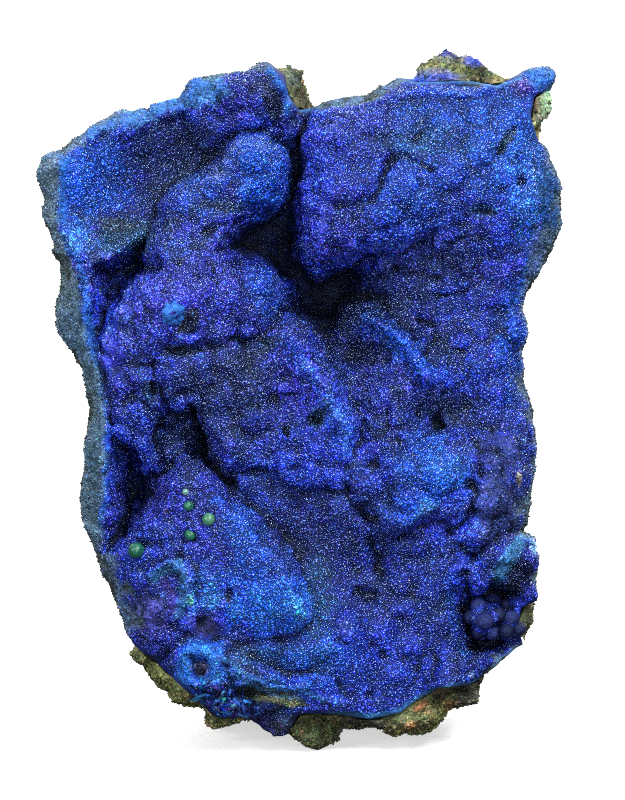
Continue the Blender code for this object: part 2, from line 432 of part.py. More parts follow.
def steepness(field, u, v):
    """How much longer a height above a sheet is than the distance from the sheet."""
    du = np.gradient(field, u[:, 0], axis=0)
    dv = np.gradient(field, v[0, :], axis=1)
    return np.sqrt(1 + du ** 2 + dv ** 2)


def ripple(u, v, w, size, seed):
    """Smooth irregular waves about as long as size, between minus one and one."""
    source = np.random.default_rng(seed)
    total = 0.0
    for _ in range(RIPPLE_WAVES):
        way = source.normal(size=3)
        way *= 2 * math.pi / size / np.linalg.norm(way)
        total = total + np.sin(u * way[0] + v * way[1] + w * way[2] + source.uniform(0, 2 * math.pi))
    return total / RIPPLE_SUM


def nubs(u, v, w, size, seed):
    """Close-packed rounded lumps about as wide as size, from nought to one."""
    table = np.random.default_rng(seed).random((NUB_SPOTS, 3)).astype(np.float32)
    place = np.stack([u, v, w], axis=-1).astype(np.float32) / size
    home = np.floor(place).astype(np.int64)
    nearest = np.full(place.shape[:-1], FAR, np.float32)
    for step in np.ndindex(3, 3, 3):
        cell = home + np.array(step) - 1
        key = (cell[..., 0] * NUB_MIX[0]) ^ (cell[..., 1] * NUB_MIX[1]) ^ (cell[..., 2] * NUB_MIX[2])
        away = cell + table[key % NUB_SPOTS] - place
        nearest = np.minimum(nearest, (away ** 2).sum(axis=-1))
    return np.sqrt(np.maximum(0, 1 - nearest / NUB_REACH))


def face_depth(u, v):
    """Depth of the face over the plane, with its forms, lobes, ridges, pits and creases."""
    still = np.zeros_like(u)
    bent_u, bent_v = u, v
    for length, height, across, up in EDGE_WAVES:
        bent_u = bent_u + ripple(u, v, still, length, across) * height
        bent_v = bent_v + ripple(u, v, still, length, up) * height
    depth = smooth_sheet(FLOOR, u, v, FLOOR_SOFT)
    for edge_round, fall, corners, places in FORMS.values():
        edge = outline_distance(corners, bent_u, bent_v)
        sheet = (smooth_sheet(places, u, v, FORM_SOFT) if len(places) > 2
                 else np.full_like(u, places[0][2]))
        over = np.maximum(edge + edge_round, 0)
        wall = np.where(over < edge_round, fall * over ** 2 / (2 * edge_round),
                        fall * (over - edge_round / 2))
        depth = soft_max(depth, sheet - wall, FORM_ROUND)
    for half, height, points in RIDGES:
        reach = path_distance(points, bent_u, bent_v) / (half * SQUARE)
        depth = depth + height * np.exp(-reach ** 2)
    ring_u, ring_v = to_face(RING[0], RING[1])
    reach = (np.hypot(bent_u - ring_u, bent_v - ring_v) - RING[2] * SQUARE) / (RING[3] * SQUARE)
    depth = depth + RING[4] * np.exp(-reach ** 2)
    for x, y, radius, height in GRAPE_LUMPS:
        reach = np.hypot(bent_u - to_face(x, y)[0], bent_v - to_face(x, y)[1]) / (radius * SQUARE)
        depth = np.maximum(depth, GRAPE_FLOOR + height * (1 - reach ** 4))
    ground = depth.copy()
    for x, y, radius in GRAPES:
        away = np.hypot(u - to_face(x, y)[0], v - to_face(x, y)[1])
        round_top = np.sqrt(np.maximum((radius * SQUARE) ** 2 - away ** 2, 0))
        depth = np.where(away < radius * SQUARE, ground + round_top, depth)
    for x, y, radius, height in LOBES:
        cu, cv = to_face(x, y)
        reach = np.hypot(bent_u - cu, bent_v - cv) / (radius * SQUARE)
        depth = np.maximum(depth, ground + LOBE_SHARE * height * (
            LOBE_SHAPE[0] - LOBE_SHAPE[1] * reach ** 2))
    for x, y, across, down, deep in PITS:
        cu, cv = to_face(x, y)
        reach = np.hypot((bent_u - cu) / (across * SQUARE), (bent_v - cv) / (down * SQUARE))
        depth = depth - deep * np.exp(-reach ** 4)
    for half, deep, points in CREASES:
        reach = path_distance(points, bent_u, bent_v) / (half * SQUARE)
        depth = depth - deep * np.exp(-reach ** 2)
    return depth


def body_field(u, v, w):
    """The whole specimen over a grid of points, less than zero inside it."""
    plane_u, plane_v = np.meshgrid(u, v, indexing="ij")
    flat = (plane_u[:, :, None], plane_v[:, :, None], w[None, None, :])
    edge = outline_distance(OUTLINE, plane_u, plane_v)[:, :, None]
    front = face_depth(plane_u, plane_v)
    back = smooth_sheet(BACK, plane_u, plane_v, BACK_SOFT)
    draw_in = (FRONT_ROUND * np.maximum(0, w - WIDEST[1]) ** 2
               + BACK_ROUND * np.maximum(0, WIDEST[0] - w) ** 2)[None, None, :]
    rough = sum(ripple(*flat, length, seed) * height for length, height, seed in SIDE_WAVES)
    fade = np.clip(np.abs(w - CALM_RIM[0]) / CALM_RIM[1], 0, 1)[None, None, :]
    side = edge + draw_in + np.maximum(rough + SIDE_RISE, 0) * fade
    front_gap = (flat[2] - front[:, :, None]) / steepness(front, plane_u, plane_v)[:, :, None]
    field = soft_max(side, front_gap, RIM_ROUND)
    back_gap = back[:, :, None] - flat[2]
    back_gap = back_gap + sum(ripple(*flat, length, seed) * height
                              for length, height, seed in BACK_WAVES)
    field = soft_max(field, back_gap, BACK_EDGE_ROUND).astype(np.float32)
    near = np.abs(field) < SKIN
    where = np.nonzero(near)
    spots = (u[where[0]], v[where[1]], w[where[2]])
    for size, height, seed in LUMPS:
        field[near] -= height * (nubs(*spots, size, seed) - 0.5)
    return field


def crust_field(u, v, w):
    """The block of space that holds the azurite crust, less than zero inside it."""
    plane_u, plane_v = np.meshgrid(u, v, indexing="ij")
    edge = outline_distance(CRUST_EDGE, plane_u, plane_v)[:, :, None]
    seam = smooth_sheet(SEAM, plane_u, plane_v, SEAM_SOFT)[:, :, None]
    field = soft_max(edge, seam - w[None, None, :], BLOCK_ROUND)
    return np.maximum(field, w[None, None, :] - (W_RANGE[1] + BLOCK_TOP)).astype(np.float32)


def settle_signs(field):
    """Fill the few grid cells whose corners would make the surface touch itself."""
    tiny = np.float32(-1e-3)
    for _ in range(SIGN_ROUNDS):
        inside = field < 0
        fill = np.zeros(field.shape, bool)
        for axis in range(3):
            other = [a for a in range(3) if a != axis]

            def corner(i, j):
                cut = [slice(None)] * 3
                cut[other[0]] = slice(i, field.shape[other[0]] - 1 + i)
                cut[other[1]] = slice(j, field.shape[other[1]] - 1 + j)
                return tuple(cut)

            a, b, c, d = (inside[corner(i, j)] for i, j in ((0, 0), (1, 0), (0, 1), (1, 1)))
            crossed = (a == d) & (b == c) & (a != b)
            for place, value in (((0, 0), a), ((1, 0), b), ((0, 1), c), ((1, 1), d)):
                fill[corner(*place)] |= crossed & ~value
        corners = [tuple(slice(k, n - 1 + k) for k, n in zip(place, field.shape))
                   for place in np.ndindex(2, 2, 2)]
        cells = [inside[c] for c in corners]
        count = sum(c.astype(np.int8) for c in cells)
        for k in range(4):
            pair = (cells[k], cells[7 - k])
            alone = (count == 2) & pair[0] & pair[1]
            hole = (count == 6) & ~pair[0] & ~pair[1]
            fill[corners[k]] |= hole
            for c in corners:
                fill[c] |= alone & ~inside[c]
        if not fill.any():
            break
        field[fill] = tiny
    return field


def surface_mesh(field, u, v, w):
    """Vertices and four-sided faces of the surface where the field is zero."""
    field = settle_signs(field)
    inside = field < 0
    cell_shape = tuple(n - 1 for n in field.shape)
    total = np.zeros(cell_shape + (3,), np.float32)
    hits = np.zeros(cell_shape, np.float32)
    crossings = []
    for axis in range(3):
        low = [slice(None)] * 3
        high = [slice(None)] * 3
        low[axis], high[axis] = slice(0, -1), slice(1, None)
        low, high = tuple(low), tuple(high)
        crossed = inside[low] != inside[high]
        where = np.argwhere(crossed)
        a, b = field[low][crossed], field[high][crossed]
        point = where.astype(np.float32)
        point[:, axis] += a / (a - b)
        crossings.append((where, inside[low][crossed]))
        other = [k for k in range(3) if k != axis]
        for i in (0, 1):
            for j in (0, 1):
                cell = where.copy()
                cell[:, other[0]] -= i
                cell[:, other[1]] -= j
                good = ((cell >= 0) & (cell < cell_shape)).all(axis=1)
                index = np.ravel_multi_index(cell[good].T, cell_shape)
                np.add.at(total.reshape(-1, 3), index, point[good])
                np.add.at(hits.reshape(-1), index, 1)
    used = hits > 0
    number = np.full(cell_shape, -1, np.int64)
    number[used] = np.arange(used.sum())
    points = total[used] / hits[used][:, None]
    faces = []
    for axis, (where, starts_inside) in enumerate(crossings):
        other = [k for k in range(3) if k != axis]
        good = (where[:, other[0]] > 0) & (where[:, other[1]] > 0)
        where, starts = where[good], starts_inside[good]
        ring = []
        for i, j in ((1, 1), (0, 1), (0, 0), (1, 0)):
            cell = where.copy()
            cell[:, other[0]] -= i
            cell[:, other[1]] -= j
            ring.append(number[tuple(cell.T)])
        quad = np.stack(ring, axis=1)
        outwards = starts if axis != 1 else ~starts
        quad[~outwards] = quad[~outwards][:, ::-1]
        faces.append(quad)
    step = np.array([u[1] - u[0], v[1] - v[0], w[1] - w[0]])
    start = np.array([u[0], v[0], w[0]])
    return start + points * step, np.concatenate(faces)


def largest_shell(points, faces):
    """Drop the small loose shells and keep the largest one."""
    label = np.arange(len(points))
    links = np.concatenate([faces[:, [0, 1]], faces[:, [1, 2]], faces[:, [2, 3]]])
    while True:
        low = np.minimum(label[links[:, 0]], label[links[:, 1]])
        new = label.copy()
        np.minimum.at(new, links[:, 0], low)
        np.minimum.at(new, links[:, 1], low)
        new = new[new]
        new = new[new]
        if (new == label).all():
            break
        label = new
    names, counts = np.unique(label, return_counts=True)
    keep = label == names[counts.argmax()]
    number = np.cumsum(keep) - 1
    return points[keep], number[faces[keep[faces[:, 0]]]]


def grid_axes(cell, margin=0):
    """Even grid points over the space round the specimen."""
    return [np.arange(low - margin, high + margin + cell, cell)
            for low, high in (U_RANGE, V_RANGE, W_RANGE)]


def mesh_from(name, points, faces):
    """A Blender mesh from points in metres and faces."""
    mesh = bpy.data.meshes.new(name)
    mesh.from_pydata(points.tolist(), [], faces.tolist())
    mesh.validate()
    mesh.update()
    return mesh


def evaluated(obj):
    """A plain mesh of an object with its modifiers applied."""
    graph = bpy.context.evaluated_depsgraph_get()
    return bpy.data.meshes.new_from_object(obj.evaluated_get(graph))


def thinned(name, points, faces, triangles):
    """A mesh brought down to about a number of triangles."""
    obj = bpy.data.objects.new(name, mesh_from(name, points, faces))
    bpy.context.scene.collection.objects.link(obj)
    thin = obj.modifiers.new("thin", "DECIMATE")
    thin.ratio = triangles / (2 * len(faces))
    thin.use_collapse_triangulate = True
    mesh = evaluated(obj)
    bpy.data.objects.remove(obj)
    return mesh


def cut_foot(mesh):
    """Cut a closed mesh flat at the height of the ground."""
    work = bmesh.new()
    work.from_mesh(mesh)
    bmesh.ops.bisect_plane(work, geom=work.verts[:] + work.edges[:] + work.faces[:], dist=1e-6,
                           plane_co=(0, 0, 0), plane_no=(0, 0, -1), clear_outer=True)
    rim = [e for e in work.edges if e.is_boundary]
    bmesh.ops.holes_fill(work, edges=rim, sides=0)
    bmesh.ops.recalc_face_normals(work, faces=work.faces[:])
    bmesh.ops.triangulate(work, faces=[f for f in work.faces if len(f.verts) > 3])
    work.to_mesh(mesh)
    work.free()
    return mesh


def material(name, colour, roughness):
    """A plain Principled material."""
    made = bpy.data.materials.new(name)
    made.use_nodes = True
    shader = made.node_tree.nodes["Principled BSDF"]
    shader.inputs["Base Color"].default_value = (*colour, 1)
    shader.inputs["Roughness"].default_value = roughness
    shader.inputs["Metallic"].default_value = 0.0
    made.diffuse_color = (*colour, 1)
    return made


def add_object(name, mesh, look):
    """A named object with its material, shaded smooth across its gentle edges."""
    obj = bpy.data.objects.new(name, mesh)
    bpy.context.scene.collection.objects.link(obj)
    mesh.materials.clear()
    mesh.materials.append(look)
    mesh.shade_smooth()
    mesh.set_sharp_from_angle(angle=SHARP_EDGE)
    return obj


def add_cutter(name, mesh):
    """A hidden object that others are cut by."""
    obj = bpy.data.objects.new(name, mesh)
    bpy.context.scene.collection.objects.link(obj)
    obj.hide_render = True
    obj.display_type = "WIRE"
    return obj


def cut(obj, cutter, operation):
    """Add an exact Boolean to an object."""
    step = obj.modifiers.new(cutter.name, "BOOLEAN")
    step.operation = operation
    step.solver = "EXACT"
    step.object = cutter
    return step


def ball_mesh(name, place, radius):
    """A round ball in the object's own frame."""
    work = bmesh.new()
    bmesh.ops.create_icosphere(work, subdivisions=BALL_DETAIL, radius=radius * 0.001)
    centre = to_world(np.array([place], float))[0]
    bmesh.ops.translate(work, verts=work.verts, vec=centre.tolist())
    mesh = bpy.data.meshes.new(name)
    work.to_mesh(mesh)
    work.free()
    return mesh


def grown(mesh, distance):
    """Move each vertex out along its normal."""
    work = bmesh.new()
    work.from_mesh(mesh)
    work.normal_update()
    moves = [v.normal * distance * v.calc_shell_factor() for v in work.verts]
    for vertex, move in zip(work.verts, moves):
        vertex.co += move
    larger = bpy.data.meshes.new(mesh.name + "_grown")
    work.to_mesh(larger)
    work.free()
    return larger


def main():
    for old in list(bpy.data.objects):
        bpy.data.objects.remove(old)

    blue = material("azurite", (0.035, 0.055, 0.34), 0.42)
    rock = material("matrix", (0.17, 0.16, 0.09), 0.85)
    green = material("malachite", (0.02, 0.19, 0.09), 0.5)

    axes = grid_axes(CELL)
    points, faces = largest_shell(*surface_mesh(body_field(*axes), *axes))
    body = cut_foot(thinned("body", to_world(points), faces, BODY_TRIANGLES))

    block_axes = grid_axes(BLOCK_CELL, BLOCK_MARGIN)
    points, faces = largest_shell(*surface_mesh(crust_field(*block_axes), *block_axes))
    block = thinned("crust_block", to_world(points), faces, CRUST_BLOCK_TRIANGLES)
    crust_block = add_cutter("crust_block", block)
    crust_room = add_cutter("crust_room", grown(block, SEAM_GAP * 0.001))

    azurite = add_object("azurite", body, blue)
    cut(azurite, crust_block, "INTERSECT")
    matrix = add_object("matrix", body.copy(), rock)
    cut(matrix, crust_room, "DIFFERENCE")

    for number, (x, y, radius) in enumerate(MALACHITE_BALLS, 1):
        u, v = (np.array([[float(a)]]) for a in to_face(x, y))
        r = radius * SQUARE
        place = (u[0, 0], v[0, 0], face_depth(u, v)[0, 0] + BALL_STANDS_OUT * r)
        name = f"malachite_ball_{number}"
        add_object(name, ball_mesh(name, place, r), green)
        socket = add_cutter(f"socket_{number}", ball_mesh("socket", place, r + SOCKET_GAP))
        cut(azurite, socket, "DIFFERENCE")


if __name__ == "__main__":
    main()
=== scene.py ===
"""Looks of the azurite and malachite specimen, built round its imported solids."""
import math

import bmesh
import bpy
import numpy as np
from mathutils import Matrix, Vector


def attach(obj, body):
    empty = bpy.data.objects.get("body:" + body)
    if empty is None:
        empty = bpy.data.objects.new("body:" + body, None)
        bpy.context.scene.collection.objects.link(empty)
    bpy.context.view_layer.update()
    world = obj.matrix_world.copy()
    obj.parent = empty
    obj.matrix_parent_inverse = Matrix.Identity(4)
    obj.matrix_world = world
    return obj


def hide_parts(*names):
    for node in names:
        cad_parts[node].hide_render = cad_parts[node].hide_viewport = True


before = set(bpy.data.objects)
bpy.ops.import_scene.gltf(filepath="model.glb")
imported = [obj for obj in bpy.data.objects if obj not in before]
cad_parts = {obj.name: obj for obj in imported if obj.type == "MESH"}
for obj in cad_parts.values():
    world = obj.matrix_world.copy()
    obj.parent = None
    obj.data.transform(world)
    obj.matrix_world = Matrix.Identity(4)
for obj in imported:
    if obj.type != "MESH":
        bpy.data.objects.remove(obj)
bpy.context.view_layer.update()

# Driving dimensions
SQUARE = 0.15            # mm, one square of the drawing grid
GRID_MIDDLE = 300.0      # squares, the x where u is zero
GRID_FOOT = 752.0        # squares, the y where v is FOOT_RISE
FOOT_RISE = 1.2          # mm
LEAN = math.radians(10)  # how far the face leans back
U_RANGE = (-42.0, 42.0)
V_RANGE = (-3.0, 109.0)
W_RANGE = (-42.0, 17.0)
WIDEST = (-27.0, -6.0)   # mm, depths between which the body keeps its full outline
FRONT_ROUND = 0.016      # per mm, how fast the outline draws in towards the front
BACK_ROUND = 0.030       # per mm, and towards the back
SIDE_WAVES = [(17.0, 1.6, 3), (7.0, 0.7, 4)]   # mm and mm: length and height, then the seed
BACK_WAVES = [(14.0, 1.3, 5), (6.0, 0.5, 6)]
EDGE_WAVES = [(6.0, 0.55, 11, 13), (2.6, 0.22, 12, 14)]  # of the forms' edges, with two seeds
SIDE_RISE = 0.8          # mm, added to the side's waves before their low parts are levelled
CALM_RIM = (-9.0, 12.0)  # mm, depth where the side has no waves, and how far off they are full
LUMPS = [(3.6, 0.7, 21)]  # mm and mm: width and height of the small lumps all over, and the seed
SKIN = 1.6               # mm, how near the surface the small lumps are worked out
LOBE_SHARE = 0.75        # how much of its listed height each lobe has
LOBE_SHAPE = (1.25, 1.5)  # a lobe's height at its middle, and how fast it falls off
RIM_ROUND = 2.5          # mm, rounding between the side and the face
BACK_EDGE_ROUND = 6.0    # mm, and between the side and the back
FORM_ROUND = 0.6         # mm, in the corners between the forms
FORM_SOFT = 2.0          # mm, how rounded each form's sheet is at its listed places
FLOOR_SOFT = 4.0         # mm, the same for the floor, the back and the seam
BACK_SOFT = 6.0
SEAM_SOFT = 8.0
SHEET_EASE = 0.02        # how far a sheet may pass its listed places by
BLOCK_ROUND = 3.0        # mm, rounding between the seam and the crust's edge
BLOCK_TOP = 3.0          # mm, how far the block stands out past the specimen's points
BALL_STANDS_OUT = 0.4    # share of its radius that a ball's middle stands out of the crust
ORIGIN_SHIFT = (0.1, -22.7)  # mm, brings the middle of the box over the origin
RIPPLE_WAVES = 6         # plane waves added up in one ripple
RIPPLE_SUM = 3.2         # brings their sum to about one
NUB_SPOTS = 4096         # places in the table that the lumps' middles are drawn from
NUB_MIX = (73856093, 19349663, 83492791)  # large odd numbers that scatter the table's places
NUB_REACH = 0.8          # share of a cell squared, how far a lump reaches from its middle
SIGN_ROUNDS = 40         # most rounds of filling cells
FAR = 1e9                # a distance beyond any other
LEAST = 1e-12            # keeps a division from failing

# The outline of the whole specimen, clockwise from its top left corner
OUTLINE = [
    (43, 160), (48, 156), (62, 152), (68, 147), (75, 140), (88, 130), (95, 125), (103, 123),
    (115, 117), (120, 112), (140, 110), (151, 113), (152, 106), (165, 102), (180, 97), (183, 88),
    (187, 80), (200, 79), (220, 77), (235, 74), (248, 74), (258, 66), (267, 64), (275, 67),
    (298, 67), (303, 72), (309, 88), (316, 102), (320, 105), (345, 101), (370, 97), (380, 90),
    (390, 86), (397, 79), (405, 76), (413, 77), (415, 68), (420, 63), (433, 55), (440, 50),
    (448, 46), (457, 54), (466, 49), (480, 58), (493, 70), (498, 75), (515, 76), (535, 71),
    (545, 69), (554, 74), (549, 87), (555, 100), (552, 118), (545, 124), (542, 142), (549, 158),
    (555, 176), (558, 185), (557, 195), (560, 222), (553, 240), (543, 260), (537, 272), (525, 290),
    (518, 308), (524, 322), (525, 335), (519, 353), (522, 370), (521, 380), (530, 405), (532, 428),
    (533, 450), (532, 477), (528, 490), (529, 500), (526, 520), (519, 532), (533, 538), (536, 558),
    (533, 580), (536, 600), (536, 613), (537, 622), (528, 636), (521, 643), (505, 655), (490, 668),
    (483, 685), (486, 705), (462, 712), (452, 712), (449, 720), (438, 733), (410, 738), (390, 738),
    (376, 731), (358, 734), (342, 732), (341, 740), (328, 748), (315, 753), (300, 748), (288, 738),
    (272, 736), (268, 730), (258, 725), (245, 725), (225, 731), (212, 731), (203, 727), (196, 712),
    (187, 709), (175, 706), (160, 696), (150, 688), (147, 680), (137, 663), (131, 655), (132, 640),
    (128, 632), (121, 610), (114, 590), (104, 572), (103, 560), (97, 548), (92, 538), (87, 520),
    (81, 500), (85, 478), (87, 465), (88, 440), (92, 420), (93, 410), (88, 390), (84, 370),
    (80, 360), (74, 350), (62, 335), (57, 315), (60, 300), (63, 280), (62, 262), (54, 252),
    (57, 244), (50, 225), (43, 210), (47, 202), (43, 185), (39, 172),
]

# The edge of the azurite crust. Beyond it the host rock is bare.
CRUST_EDGE = [
    (0, 120), (60, 60), (150, 40), (262, 20), (268, 62), (284, 76), (289, 98), (300, 111),
    (320, 106), (332, 60), (385, 40), (400, 78), (418, 84), (440, 83), (470, 82), (496, 88),
    (516, 76), (540, 55), (575, 60), (558, 88), (546, 93), (534, 96), (529, 118), (537, 142), (600, 150),
    (600, 590), (545, 598), (522, 606), (516, 626), (524, 645), (500, 662), (488, 672), (468, 684),
    (440, 686), (415, 700), (400, 712), (370, 718), (330, 712), (300, 712), (290, 728), (284, 740),
    (268, 738), (258, 724), (240, 716), (226, 718), (213, 714), (200, 701), (178, 681),
    (160, 664), (132, 642), (90, 640), (0, 600),
]

